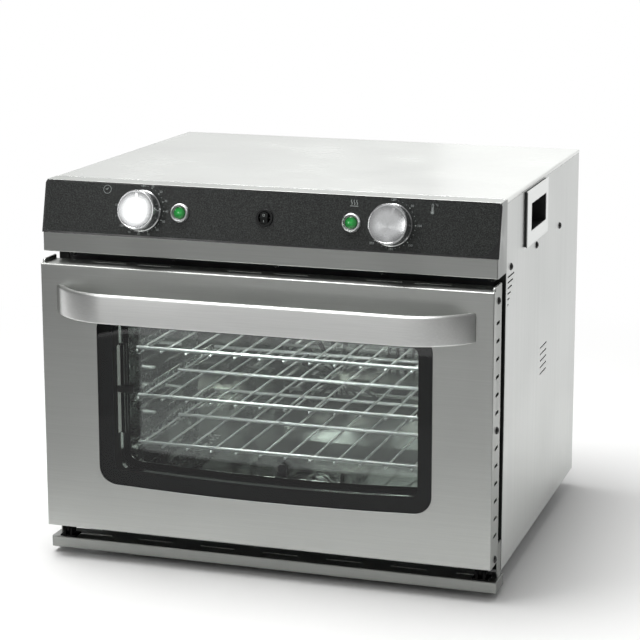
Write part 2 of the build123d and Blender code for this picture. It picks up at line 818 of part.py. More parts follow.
def make_fan_motor():
    """Fan motor behind the insulation, with a nose and the bore for its shaft."""
    plane = Plane(origin=(fan_x, motor_y, fan_z), x_dir=(-1, 0, 0), z_dir=(0, 1, 0))
    body = Cylinder(motor_r, motor_l, align=(Align.CENTER, Align.CENTER, Align.MIN))
    body = chamfer(body.edges().sort_by(Axis.Z)[-1], 5.0)
    body += Box(2 * motor_r + 24, 24, 2.0, align=(Align.CENTER, Align.CENTER, Align.MIN))
    body -= Cylinder(fan_shaft_r + slip, motor_l * 0.6 + touch_gap,
                     align=(Align.CENTER, Align.CENTER, Align.MIN))
    return plane * body


def heater_leg_xs():
    """Sideways places of the heater's two ends in the back wall."""
    return (fan_x - heater_leg_half, fan_x + heater_leg_half)


def heater_leg_z():
    """Height where the heater's ends leave its ring."""
    return fan_z + (heater_ring_r ** 2 - heater_leg_half ** 2) ** 0.5


def make_heater():
    """Tubular heater bent into a ring round the fan, its two ends through the back wall."""
    y = fan_back - fan_blade_w / 2
    plane = Plane(origin=(fan_x, y, fan_z), x_dir=(1, 0, 0), z_dir=(0, -1, 0))
    start = degrees(asin(heater_leg_half / heater_ring_r))
    path = plane * CenterArc((0, 0), heater_ring_r, 90 + start, 360 - 2 * start)
    tube = sweep(Plane(origin=path @ 0, z_dir=path % 0) * Circle(heater_wire_r), path=path)
    for x in heater_leg_xs():
        elbow = (x, y, heater_leg_z())
        tube += rod(elbow, (x, motor_y + 6, heater_leg_z()), heater_wire_r)
        tube += Pos(*elbow) * Sphere(heater_wire_r)
    return tube


def make_bulb():
    """Thermostat bulb in its clips on the baffle's upper face."""
    z = baffle_z1 + bulb_r + bulb_clip_h
    y = (baffle_y + cavity_back) / 2
    bulb = rod((-bulb_l / 2, y, z), (bulb_l / 2, y, z), bulb_r)
    for x in (-bulb_l * 0.35, bulb_l * 0.35):
        bulb += block(x - 4, x + 4, y - 1, y + 1, baffle_z1, z)
    return bulb


# Door


def make_door_skin():
    """Outer door pan: window cut-out, slotted top and sides, rounded hems along the top."""
    shell = block(-door_half, door_half, door_front, door_back, door_z0, door_z1)
    front = shell.faces().sort_by(Axis.Y)[0].edges()
    shell = fillet(front, bend_r)
    shell -= block(-door_half + door_t, door_half - door_t, door_front + door_t, door_back + 1,
                   door_z0 + door_t, door_z1 - door_t)
    for sx in (-1, 1):
        x0, x1 = sorted((sx * door_half, sx * (door_half - door_lip_w)))
        lip = block(x0, x1, door_front + door_lip_inset, door_back, door_z1 - door_t,
                    door_z1 + door_lip_h)
        corner = lip.edges().filter_by(Axis.X).sort_by(lambda e: e.center().Y - e.center().Z)[0]
        lip = fillet(corner, door_lip_h - 1)
        ridge = lip.edges().filter_by(Axis.Y).group_by(Axis.Z)[-1]
        shell += fillet(ridge, bend_r)
    shell -= window_block(outer_window(), door_front - 1, door_front + 2 * door_t)
    for group in (-1, 0, 1):
        for sx in (-1, 1):
            x = group * top_slot_group_pitch + sx * top_slot_pitch / 2
            shell -= Pos(x, top_slot_y, door_z1) * slot_cut(top_slot_l, top_slot_w, 2 * door_t)
    for z in side_slot_zs():
        cutter = Plane.YZ * slot_cut(side_slot_l, side_slot_w, body_w)
        shell -= Pos(0, side_slot_y, z) * cutter
    for z in side_screw_zs():
        hole = Rot(0, 90, 0) * Cylinder(screw_r + screw_hole_gap, body_w)
        shell -= Pos(0, side_slot_y, z) * hole
    for x, z in handle_screw_places():
        hole = Rot(90, 0, 0) * Cylinder(screw_r + screw_hole_gap, 4 * door_t)
        shell -= Pos(x, door_front, z) * hole
    return shell


def side_slot_zs():
    """Heights of the slots in the door's sides, six above and six below the middle screw."""
    steps = list(range(1, side_slot_count + 1))
    return [side_screw_mid_z + side_slot_pitch * s * n for s in (-1, 1) for n in steps]


def side_screw_zs():
    """Heights of the screws in the door's sides."""
    reach = side_slot_pitch * (side_slot_count + 1)
    return [side_screw_mid_z - reach - 8, side_screw_mid_z, side_screw_mid_z + reach + 5]


def outer_window():
    """Outline of the cut-out in the door skin."""
    return window_face(window_half, window_top, window_low, window_sag, window_corner_r)


def make_outer_glass():
    """Outer pane, glued behind the door skin."""
    face = window_face(window_half + glass_lap, window_top + glass_lap, window_low - glass_lap,
                       window_sag, window_corner_r)
    return window_block(face, outer_glass_front, outer_glass_front + glass_t)


def make_border():
    """Black border printed on the back of the outer pane."""
    lap = glass_lap
    outside = window_face(window_half + lap, window_top + lap, window_low - lap, window_sag,
                          window_corner_r)
    inside = window_face(window_half - border_w, window_top - border_w, window_low + border_w,
                         window_sag, window_corner_r - 15)
    y0 = outer_glass_front + glass_t
    return window_block(outside, y0, y0 + border_t) - window_block(inside, y0 - 1, y0 + 2)


def make_inner_panel():
    """Inner door sheet with the raised plug that meets the gasket, and its window."""
    half = door_half - door_t - touch_gap
    z0, z1 = door_z0 + door_t + touch_gap, door_z1 - door_t - touch_gap
    sheet = block(-half, half, door_back - door_t, door_back, z0, z1)
    wall = 8.0
    for sx in (-1, 1):
        x0, x1 = sorted((sx * half, sx * (half - door_t)))
        sheet += block(x0, x1, side_slot_y - wall, door_back, z0, z1)
    plug = block(-plug_half, plug_half, door_back - door_t, plug_face, plug_z0, plug_z1)
    plug = fillet(plug.edges().filter_by(Axis.Y), plug_corner_r)
    hollow = block(-plug_half + door_t, plug_half - door_t, door_back - 2 * door_t,
                   plug_face - door_t, plug_z0 + door_t, plug_z1 - door_t)
    hollow = fillet(hollow.edges().filter_by(Axis.Y), plug_corner_r - door_t)
    sheet = sheet + plug - hollow
    sheet -= window_block(inner_window(), door_back - 1, plug_face + 1)
    for z in side_slot_zs():
        cutter = Plane.YZ * slot_cut(side_slot_l, side_slot_w, body_w)
        sheet -= Pos(0, side_slot_y, z) * cutter
    for z in side_screw_zs():
        hole = Rot(0, 90, 0) * Cylinder(screw_r + screw_hole_gap, body_w)
        sheet -= Pos(0, side_slot_y, z) * hole
    return sheet


def inner_window():
    """Outline of the cut-out in the inner panel."""
    return window_face(inner_window_half, window_top, inner_window_low, window_sag,
                       inner_window_corner_r)


def make_inner_glass():
    """Inner pane behind the plug's face."""
    lap = inner_glass_lap
    face = window_face(inner_window_half + lap, window_top + lap, inner_window_low - lap,
                       window_sag, inner_window_corner_r)
    return window_block(face, inner_glass_front, inner_glass_back)


def make_glass_rail():
    """Right retaining strip: an angle along the inner pane's edge."""
    x0 = inner_window_half + inner_glass_lap - rail_w
    z0, z1 = rail_mid_z - rail_l / 2, rail_mid_z + rail_l / 2
    x1 = inner_window_half + inner_glass_lap + touch_gap + door_t
    lap_leg = block(x0, x1, inner_glass_front - door_t, inner_glass_front, z0, z1)
    edge_leg = block(x1 - door_t, x1, inner_glass_front - rail_h, inner_glass_back, z0, z1)
    return lap_leg + edge_leg


def make_glass_clips():
    """Clips on the inner pane: a button with a foot at the lower edge, a bar at each rail."""
    x, z = clip_button_x, inner_window_low
    face = inner_glass_front - touch_gap
    foot = block(x - clip_foot_w * 0.62, x + clip_foot_w * 0.38, face - door_t, face, z - 1, z + 5)
    button = Cylinder(clip_button_r, clip_button_h, align=(Align.CENTER, Align.CENTER, Align.MIN))
    button = chamfer(button.edges().sort_by(Axis.Z)[-1], 0.8)
    button = Pos(x, face - door_t, z + 5 + clip_button_r * 0.8) * (Rot(90, 0, 0) * button)
    bridge = block(x - 2, x + 2, face - door_t, face, z + 4, z + 12)
    x1 = inner_window_half + inner_glass_lap
    bar_y = inner_glass_front - door_t - touch_gap
    bar = block(x1 - clip_bar_l, x1, bar_y - 2 * door_t, bar_y, rail_mid_z - clip_bar_h / 2,
                rail_mid_z + clip_bar_h / 2)
    return joined([foot + bridge + button, bar, mirrored(bar)])


def handle_region(inset):
    """Plan outline between the bowed strip and the door, drawn in by inset."""
    run = (door_front - handle_front) / tan(radians(handle_end_angle))
    back = 30.0
    over = back / tan(radians(handle_end_angle))
    y0 = door_front + back
    points = [(-handle_half - over, y0), (-handle_half + run, handle_front),
              (handle_half - run, handle_front), (handle_half + over, y0)]
    path = FilletPolyline(*points, radius=handle_bend_r)
    face = make_face([path, Line(points[-1], points[0])])
    return offset(face, -inset, kind=Kind.INTERSECTION) if inset else face


def make_handle():
    """Bowed channel strip with returned edges and a fixing tab inside each end."""
    low = Plane(origin=(0, 0, handle_z - handle_h / 2))
    outer = handle_region(0)
    web = extrude(low * (outer - handle_region(handle_t)), amount=handle_h)
    rim = extrude(low * (outer - handle_region(handle_return)), amount=handle_t)
    strip = web + rim + Pos(0, 0, handle_h - handle_t) * rim
    ahead = block(-body_w, body_w, handle_front - 1, door_front - touch_gap, 0, body_h)
    strip &= ahead
    for sx in (-1, 1):
        x0, x1 = sorted((sx * (handle_half - 1), sx * (handle_half - handle_tab_l)))
        tab = block(x0, x1, door_front - touch_gap - 2 * handle_t, door_front - touch_gap,
                    handle_z - handle_tab_h / 2, handle_z + handle_tab_h / 2)
        strip += tab
    inside = extrude(low * outer, amount=handle_h) & ahead
    strip &= inside
    for x, z in handle_screw_places():
        hole = Rot(90, 0, 0) * Cylinder(screw_r, 12)
        strip -= Pos(x, door_front, z) * hole
    return strip


def handle_screw_places():
    """Where the handle's screws go through the door skin."""
    x = handle_half - handle_tab_l * 0.7
    z = handle_tab_h * 0.25
    return [(sx * x, handle_z + sz * z) for sx in (-1, 1) for sz in (-1, 1)]


def make_handle_screws():
    """Four screws from inside the door skin into the handle's tabs."""
    tip = door_t + touch_gap + 2 * handle_t
    one = Rot(-90, 0, 0) * screw(tip)
    return joined([Pos(x, door_front + door_t, z) * one for x, z in handle_screw_places()])


# Hinge


def hinge_eye(t, top, foot_half):
    """Plate across X with a round eye at the pivot and a straight foot up to top."""
    plane = Plane(origin=(-t / 2, hinge_y, hinge_z), x_dir=(0, 1, 0), z_dir=(1, 0, 0))
    leaf = Circle(hinge_eye_r) + Pos(0, top / 2) * Rectangle(2 * foot_half, abs(top))
    return extrude(plane * leaf, amount=t)


def lug_offset():
    """Distance from the ear's middle to each lug's middle."""
    return hinge_ear_t / 2 + hinge_side_gap + hinge_lug_t / 2


def make_hinge_bracket():
    """Right bracket on the ledge: a plate and two lugs that hold the pin."""
    lug = hinge_eye(hinge_lug_t, ledge_top - hinge_z, hinge_eye_r)
    reach = lug_offset()
    bracket = Pos(hinge_x - reach, 0, 0) * lug + Pos(hinge_x + reach, 0, 0) * lug
    bracket += block(hinge_x - reach - 6, hinge_x + reach + 6, hinge_y - hinge_eye_r,
                     hinge_y + 12, ledge_top, ledge_top + hinge_plate_t)
    return bracket - Pos(hinge_x, hinge_y, hinge_z) * (Rot(0, 90, 0) * Cylinder(hinge_pin_r, 40))


def make_hinge_ear():
    """Right ear under the door: a plate on the door's bottom and the eye that turns on the pin."""
    ear = Pos(hinge_x, 0, 0) * hinge_eye(hinge_ear_t, door_z0 - hinge_z, hinge_eye_r)
    ear += block(hinge_x - 12, hinge_x + 12, hinge_y - hinge_leaf_l / 2, door_back - 2,
                 door_z0 - hinge_plate_t, door_z0)
    bore = Rot(0, 90, 0) * Cylinder(hinge_pin_r + slip, 40)
    return ear - Pos(hinge_x, hinge_y, hinge_z) * bore


def make_hinge_pin():
    """Right hinge pin with a head at its outer end."""
    reach = lug_offset() + hinge_lug_t / 2
    x0, x1 = hinge_x - reach - 2, hinge_x + reach
    pin = rod((x0, hinge_y, hinge_z), (x1, hinge_y, hinge_z), hinge_pin_r)
    return pin + rod((x1, hinge_y, hinge_z), (x1 + 1.5, hinge_y, hinge_z), hinge_pin_r + 1.2)


# Side grips, screws and the back


def make_grip_cup():
    """Right grip cup: a black frame, a collar in the panel's hole and a pocket behind."""
    x0 = half_w
    frame = block(x0, x0 + grip_frame_t, grip_y0 + 1, grip_y1 - 1, grip_z0 + 1, grip_z1 - 1)
    collar = block(x0 - grip_collar_t, x0, grip_win_y0 - grip_collar_w,
                   grip_win_y1 + grip_collar_w, grip_win_z0 - grip_collar_w,
                   grip_win_z1 + grip_collar_w)
    pocket = block(x0 - grip_depth, x0, grip_win_y0 - grip_wall, grip_win_y1 + grip_wall,
                   grip_win_z0 - grip_wall, grip_win_z1 + grip_wall)
    hollow = block(x0 - grip_depth + grip_wall, x0 + grip_frame_t + 1, grip_win_y0, grip_win_y1,
                   grip_win_z0, grip_win_z1)
    return frame + collar + pocket - hollow


def make_grip_plate():
    """Right grip plate: stainless sheet with the finger opening."""
    x0 = half_w + grip_frame_t
    plate = block(x0, x0 + grip_plate_t, grip_y0, grip_y1, grip_z0, grip_z1)
    return plate - block(x0 - 1, x0 + grip_plate_t + 1, grip_win_y0, grip_win_y1,
                         grip_win_z0, grip_win_z1)


def make_side_screws():
    """Screws that hold the side panels to the control shelf."""
    one = Rot(0, 90, 0) * screw()
    row = [Pos(half_w, side_screw_y0 + side_screw_pitch * i, side_screw_z) * one
           for i in range(side_screw_count)]
    return joined(row + [mirrored(piece) for piece in row])


def make_door_side_screws():
    """Screws through the door's sides into the inner panel."""
    one = Rot(0, 90, 0) * screw(screw_l * 0.6)
    column = [Pos(door_half, side_slot_y, z) * one for z in side_screw_zs()]
    return joined(column + [mirrored(piece) for piece in column])


def make_fascia_screws():
    """Screws that hang under the fascia's lower flange."""
    one = Rot(180, 0, 0) * screw(screw_l, fascia_screw_head_h)
    return joined([Pos(x, fascia_screw_y, band_bottom) * one for x in fascia_screw_xs()])


def make_gland():
    """Cord gland in the back panel: nuts on both sides of the sheet and an open bore."""
    plane = Plane(origin=(gland_x, back_y1, gland_z), x_dir=(-1, 0, 0), z_dir=(0, 1, 0))
    out = gland_back - back_y1
    body = Pos(0, 0, -frame_t - 8) * Cylinder(gland_r, out + frame_t + 8,
                                              align=(Align.CENTER, Align.CENTER, Align.MIN))
    body += extrude(RegularPolygon(gland_nut_r, 6), amount=gland_nut_h)
    body += Pos(0, 0, -frame_t - gland_nut_h) * extrude(RegularPolygon(gland_nut_r, 6),
                                                        amount=gland_nut_h)
    body -= Cylinder(gland_bore_r, 4 * out)
    return plane * body


def make_terminal_block():
    """Terminal block on the casing floor, near the gland."""
    y1 = back_y0 - 14
    body = block(gland_x - 30, gland_x + 30, y1 - 20, y1, base_top, base_top + 4)
    for i in range(5):
        x = gland_x - 24 + 12 * i
        body += block(x - 4.5, x + 4.5, y1 - 18, y1 - 2, base_top + 4, base_top + 18)
    return body


def both_sides(name, piece):
    """A right-hand piece and its mirror, under two names."""
    return {name + "_right": piece, name + "_left": mirrored(piece)}


def pair(piece):
    """A right-hand piece and its mirror as one node."""
    return joined([piece, mirrored(piece)])


def build():
    """Every node of the oven, by name."""
    nodes = {
        "top_cover": make_top_cover(),
        "back_panel": make_back_panel(),
        "base_pan": make_base_pan(),
        "rubber_feet": make_feet(),
        "front_ledge": make_ledge(),
        "front_frame": make_front_frame(),
        "control_shelf": make_control_shelf(),
        "fascia": make_fascia(),
        "control_overlay": make_overlay(),
        "fascia_screws": make_fascia_screws(),
        "side_screws": make_side_screws(),
        "timer_body": make_control_body(-knob_x),
        "thermostat_body": make_control_body(knob_x),
        "timer_shaft": make_shaft(-knob_x),
        "thermostat_shaft": make_shaft(knob_x),
        "timer_knob": make_knob(-knob_x, 0),
        "thermostat_knob": make_knob(knob_x, heat_knob_turn),
        "power_lamp_bezel": make_lamp_bezel(-lamp_x),
        "power_lamp_lens": make_lamp_lens(-lamp_x),
        "heat_lamp_bezel": make_lamp_bezel(lamp_x),
        "heat_lamp_lens": make_lamp_lens(lamp_x),
        "switch_bezel": make_switch_bezel(),
        "switch_rocker": make_rocker(),
        "cavity_liner": make_liner(),
        "insulation": make_insulation(),
        "door_gasket": make_gasket(),
        "fan_baffle": make_baffle(),
        "fan_wheel": make_fan_wheel(),
        "fan_shaft": make_fan_shaft(),
        "fan_motor": make_fan_motor(),
        "ring_heater": make_heater(),
        "thermostat_bulb": make_bulb(),
        "rack_low": make_rack(1),
        "rack_middle": make_rack(2),
        "rack_high": make_rack(3),
        "door_skin": make_door_skin(),
        "outer_glass": make_outer_glass(),
        "glass_border": make_border(),
        "inner_panel": make_inner_panel(),
        "inner_glass": make_inner_glass(),
        "glass_rails": pair(make_glass_rail()),
        "glass_clips": make_glass_clips(),
        "hinge_brackets": pair(make_hinge_bracket()),
        "hinge_ears": pair(make_hinge_ear()),
        "hinge_pins": pair(make_hinge_pin()),
        "handle": make_handle(),
        "handle_screws": make_handle_screws(),
        "door_side_screws": make_door_side_screws(),
        "cord_gland": make_gland(),
        "terminal_block": make_terminal_block(),
    }
    nodes.update(both_sides("side_panel", make_side_panel()))
    nodes.update(both_sides("grip_cup", make_grip_cup()))
    nodes.update(both_sides("grip_plate", make_grip_plate()))
    nodes.update(both_sides("rack_support", make_rack_support()))
    return nodes


def main():
    os.makedirs("parts", exist_ok=True)
    for name, piece in build().items():
        moved = Pos(0, -origin_y, 0) * piece
        export_step(moved, f"parts/{name}.step")


main()
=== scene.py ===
"""Countertop convection oven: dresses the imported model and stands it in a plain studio."""
import logging
import math
from contextlib import contextmanager
from dataclasses import dataclass
from enum import Enum
from typing import Any, ClassVar, Iterator, Optional, Sequence

import bmesh
import bpy
from mathutils import Matrix, Vector


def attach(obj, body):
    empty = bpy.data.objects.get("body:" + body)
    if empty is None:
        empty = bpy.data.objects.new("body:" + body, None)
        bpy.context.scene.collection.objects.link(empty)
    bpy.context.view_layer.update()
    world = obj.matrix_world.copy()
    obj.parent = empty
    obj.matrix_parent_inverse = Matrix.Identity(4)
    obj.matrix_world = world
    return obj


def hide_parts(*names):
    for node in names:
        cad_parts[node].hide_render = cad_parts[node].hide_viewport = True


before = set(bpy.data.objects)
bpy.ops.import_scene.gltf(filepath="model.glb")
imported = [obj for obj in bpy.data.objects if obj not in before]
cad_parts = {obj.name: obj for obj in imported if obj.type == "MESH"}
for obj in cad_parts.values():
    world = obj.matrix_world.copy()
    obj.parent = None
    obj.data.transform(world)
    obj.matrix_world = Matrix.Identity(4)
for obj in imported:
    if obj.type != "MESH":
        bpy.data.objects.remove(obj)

log = logging.getLogger("oven")

Pair = tuple[float, float]
Triple = tuple[float, float, float]
Tree = bpy.types.NodeTree
Node = bpy.types.Node
Mesh = bpy.types.Mesh
Piece = bpy.types.Object
Points = Sequence[Sequence[float]]
Socket = bpy.types.NodeSocket

MM = 0.001
SEAM_Y = -184.5  # mm: the seam where the side panels begin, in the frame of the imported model
PANEL_TILT = math.atan(15.5 / 66.0)  # the control panel falls back 15.5 mm over 66 mm
PANEL_MIDDLE = (0.0, -37.75, 467.0)  # mm from the seam
KNOB_X, LAMP_X = 165.0, 113.0  # mm from the panel's middle
KNOB_FACE, LENS_CROWN = 21.5, 5.0  # mm out of the panel
WHITE = "FFFFFF"


# Shared helpers


def at(x: float, y: float, z: float) -> Vector:
    """Point of the model in metres, from millimetres measured from the seam."""
    return Vector((x, y + SEAM_Y, z)) * MM


def linear(colour: str) -> tuple[float, float, float, float]:
    """Linear red, green, blue and alpha of an sRGB hex value.

    Args:
        colour: six hex digits.

    Returns:
        The four numbers, alpha 1.
    """
    values = [int(colour[i:i + 2], 16) / 255 for i in (0, 2, 4)]
    bent = [v / 12.92 if v <= 0.04045 else ((v + 0.055) / 1.055) ** 2.4 for v in values]
    return bent[0], bent[1], bent[2], 1.0


def add_node(tree: Tree, kind: str, inputs: Optional[dict[Any, Any]] = None,
             **settings: Any) -> Node:
    """Add one node to a shader or geometry tree.

    Args:
        tree: the tree that gets the node.
        kind: Blender's name of the node's type.
        inputs: what each input gets, by its name or number: a value, a socket, a node for its
            first output in use, a tuple of these for a vector, or a list of these for an input
            that takes several.
        settings: properties of the node.

    Returns:
        The new node.
    """
    links = (bpy.types.Node, bpy.types.NodeSocket)
    node = tree.nodes.new(kind)
    for key, value in settings.items():
        setattr(node, key, value)
    for key, given in (inputs or {}).items():
        for value in given if isinstance(given, list) else [given]:
            if isinstance(value, tuple) and any(isinstance(v, links) for v in value):
                value = add_node(tree, "ShaderNodeCombineXYZ", dict(enumerate(value)))
            if isinstance(value, bpy.types.Node):
                value = next(socket for socket in value.outputs if socket.enabled)
            if isinstance(value, bpy.types.NodeSocket):
                tree.links.new(value, node.inputs[key])
            else:
                node.inputs[key].default_value = value
    return node


def put(name: str, data: bpy.types.ID) -> Piece:
    """Object at the origin that shows some data.

    Args:
        name: name of the object.
        data: its mesh, curve, lamp or camera.

    Returns:
        The object.
    """
    piece = bpy.data.objects.new(name, data)
    bpy.context.scene.collection.objects.link(piece)
    return piece


@contextmanager
def editing(mesh: Mesh) -> Iterator[bmesh.types.BMesh]:
    """Open a mesh for editing, and write it back at the end.

    Args:
        mesh: the mesh to edit.

    Yields:
        The mesh in its editable form.
    """
    shell = bmesh.new()
    shell.from_mesh(mesh)
    yield shell
    shell.to_mesh(mesh)
    shell.free()


def mesh_from(points: Points, faces: Sequence[Sequence[int]] = (),
              edges: Sequence[tuple[int, int]] = ()) -> Mesh:
    """Mesh with its doubles merged and its faces turned outwards.

    Args:
        points: corners in metres.
        faces: corner numbers of each face.
        edges: corner numbers of each loose edge.

    Returns:
        The mesh.
    """
    mesh = bpy.data.meshes.new("made")
    mesh.from_pydata([tuple(p) for p in points], edges, [tuple(f) for f in faces])
    with editing(mesh) as shell:
        bmesh.ops.remove_doubles(shell, verts=shell.verts, dist=1e-6)
        bmesh.ops.recalc_face_normals(shell, faces=shell.faces)
    return mesh


def sharpen(mesh: Mesh, angle: float = 35.0) -> None:
    """Shade a mesh smoothly, with sharp edges where it turns.

    Args:
        mesh: the mesh to shade.
        angle: turn in degrees from which an edge is sharp.
    """
    with editing(mesh) as shell:
        for face in shell.faces:
            face.smooth = True
        for edge in shell.edges:
            if len(edge.link_faces) == 2:
                edge.smooth = edge.calc_face_angle(0.0) < math.radians(angle)


def lathe(profile: Sequence[Pair], steps: int = 96) -> Mesh:
    """Closed mesh turned about Z.

    Args:
        profile: radius and height of each point in millimetres; the ends lie on the axis.
        steps: sides of the turning.

    Returns:
        The mesh.
    """
    points, faces = [], []
    rows = len(profile)
    for i in range(steps):
        turn = 2 * math.pi * i / steps
        points += [Vector((r * math.sin(turn), r * math.cos(turn), h)) * MM for r, h in profile]
        a, b = i * rows, (i + 1) % steps * rows
        faces += [(a + k, a + k + 1, b + k + 1, b + k) for k in range(rows - 1)]
    mesh = mesh_from(points, faces)
    sharpen(mesh)
    return mesh


def merged(meshes: Sequence[Mesh]) -> Mesh:
    """One mesh made of several.

    Args:
        meshes: the meshes; they are removed, and their materials are dropped.

    Returns:
        The mesh.
    """
    whole = bpy.data.meshes.new("merged")
    with editing(whole) as shell:
        for mesh in meshes:
            shell.from_mesh(mesh)
            bpy.data.meshes.remove(mesh)
    return whole


def evaluated_mesh(piece: Piece) -> Mesh:
    """Plain mesh of an object as its modifiers leave it.

    Args:
        piece: the object; it is removed with its data.

    Returns:
        The mesh.
    """
    graph = bpy.context.evaluated_depsgraph_get()
    mesh = bpy.data.meshes.new_from_object(piece.evaluated_get(graph))
    data = piece.data
    bpy.data.objects.remove(piece)
    (bpy.data.meshes if isinstance(data, Mesh) else bpy.data.curves).remove(data)
    return mesh


def panel_place(x: float, up: float = 0.0, out: float = 0.0, turn: float = 0.0) -> Matrix:
    """Place on the sloped control panel.

    Args:
        x: millimetres to the right of the panel's middle.
        up: millimetres up the slope.
        out: millimetres out of the panel's face.
        turn: clockwise turn in degrees, seen from the front.

    Returns:
        The matrix that takes a shape modelled flat on XY to that place.
    """
    normal = Vector((0, -math.cos(PANEL_TILT), math.sin(PANEL_TILT)))
    rise = Vector((0, math.sin(PANEL_TILT), math.cos(PANEL_TILT)))
    spot = at(*PANEL_MIDDLE) + (Vector((x, 0, 0)) + rise * up + normal * out) * MM
    axes = Matrix((Vector((1, 0, 0)), rise, normal)).transposed().to_4x4()
    return Matrix.Translation(spot) @ axes @ Matrix.Rotation(-math.radians(turn), 4, "Z")


def panel_point(x: float, out: float) -> Triple:
    """Point in metres that lies x to the right and out of the panel, both in millimetres."""
    return tuple(panel_place(x, out=out).to_translation())


# Finishes: what each surface really is, and what that gives the eye


CLOUDS = (0.3, 0.7)  # the span of values that soft noise really covers
SMUDGES = (0.35, 0.7)  # leaves the low part of the noise clean
CELLS = (0.0, 1.0)  # the span of values that cells and cuts cover


class Lay(Enum):
    """Axis that a brushed sheet's grain runs along, and that its highlights smear about."""

    ACROSS = "X"
    DEEP = "Y"
    UPRIGHT = "Z"


@dataclass(frozen=True)
class Finish:
    """A surface finish; each kind builds its own nodes. Gaps and depths are in millimetres."""

    name: str

    def material(self) -> bpy.types.Material:
        """The finish's material, built once.

        Returns:
            The material.
        """
        made = bpy.data.materials.get(self.name)
        if not made:
            made = bpy.data.materials.new(self.name)
            made.use_nodes = True
            made.node_tree.nodes.clear()
            add_node(made.node_tree, "ShaderNodeOutputMaterial", {
                "Surface": self.surface(made.node_tree)})
        return made

    def surface(self, tree: Tree) -> Node:
        """The finish's shader, whose nodes are added to a tree."""
        raise NotImplementedError

    def dress(self, *pieces: Piece) -> None:
        """Give the finish to every material slot of some pieces.

        Args:
            pieces: the pieces.
        """
        made = self.material()
        for piece in pieces:
            if not piece.data.materials:
                piece.data.materials.append(made)
            for i in range(len(piece.data.materials)):
                piece.data.materials[i] = made

    @staticmethod
    def pattern(tree: Tree, gap: float | Sequence[float], kind: str = "ShaderNodeTexNoise",
                **inputs: float) -> Node:
        """Pattern on Object coordinates, spaced in millimetres.

        Args:
            tree: the material's tree.
            gap: spacing of the pattern, for all axes or for each.
            kind: Blender's name of the texture's type.
            inputs: other inputs of the texture.

        Returns:
            The texture's node.
        """
        gaps = [gap] * 3 if isinstance(gap, float) else gap
        place = add_node(tree, "ShaderNodeTexCoord").outputs["Object"]
        spread = add_node(tree, "ShaderNodeMapping", {
            "Vector": place, "Scale": tuple(1000 / g for g in gaps)})
        return add_node(tree, kind, {"Vector": spread, "Scale": 1.0, **inputs})

    @staticmethod
    def away(tree: Tree, centre: Triple) -> Node:
        """Distance from a point.

        Args:
            tree: the material's tree.
            centre: the point in metres.

        Returns:
            The node that gives the distance in metres.
        """
        place = add_node(tree, "ShaderNodeTexCoord").outputs["Object"]
        shift = add_node(tree, "ShaderNodeMapping", {
            "Vector": place, "Location": tuple(-c for c in centre)})
        return add_node(tree, "ShaderNodeVectorMath", {0: shift}, operation="LENGTH")

    @staticmethod
    def body(tree: Tree, colour: Any, roughness: Any, relief: Optional[tuple] = None,
             **inputs: Any) -> Node:
        """Solid surface whose tone, gloss and relief may follow patterns.

        Args:
            tree: the material's tree.
            colour: a hex value, or a pattern and the hex values of its low and high parts.
            roughness: a number, or a pattern, the span of its values and the roughness at both
                ends of it.
            relief: a pattern, how strongly it shows and its height in millimetres.
            inputs: other inputs of the shader, with underscores for spaces.

        Returns:
            The shader's node.
        """
        made = {name.replace("_", " "): value for name, value in inputs.items()}
        made["Base Color"] = linear(colour) if isinstance(colour, str) else add_node(
            tree, "ShaderNodeMix", {
                "Factor": colour[0], "A": linear(colour[1]), "B": linear(colour[2])},
            data_type="RGBA")
        made["Roughness"] = roughness
        if isinstance(roughness, tuple):
            source, (low, high), (smooth, rough) = roughness
            made["Roughness"] = add_node(tree, "ShaderNodeMapRange", {
                "Value": source, "From Min": low, "From Max": high, "To Min": smooth,
                "To Max": rough})
        if relief:
            made["Normal"] = add_node(tree, "ShaderNodeBump", {
                "Height": relief[0], "Strength": relief[1], "Distance": relief[2] * MM})
        return add_node(tree, "ShaderNodeBsdfPrincipled", made)


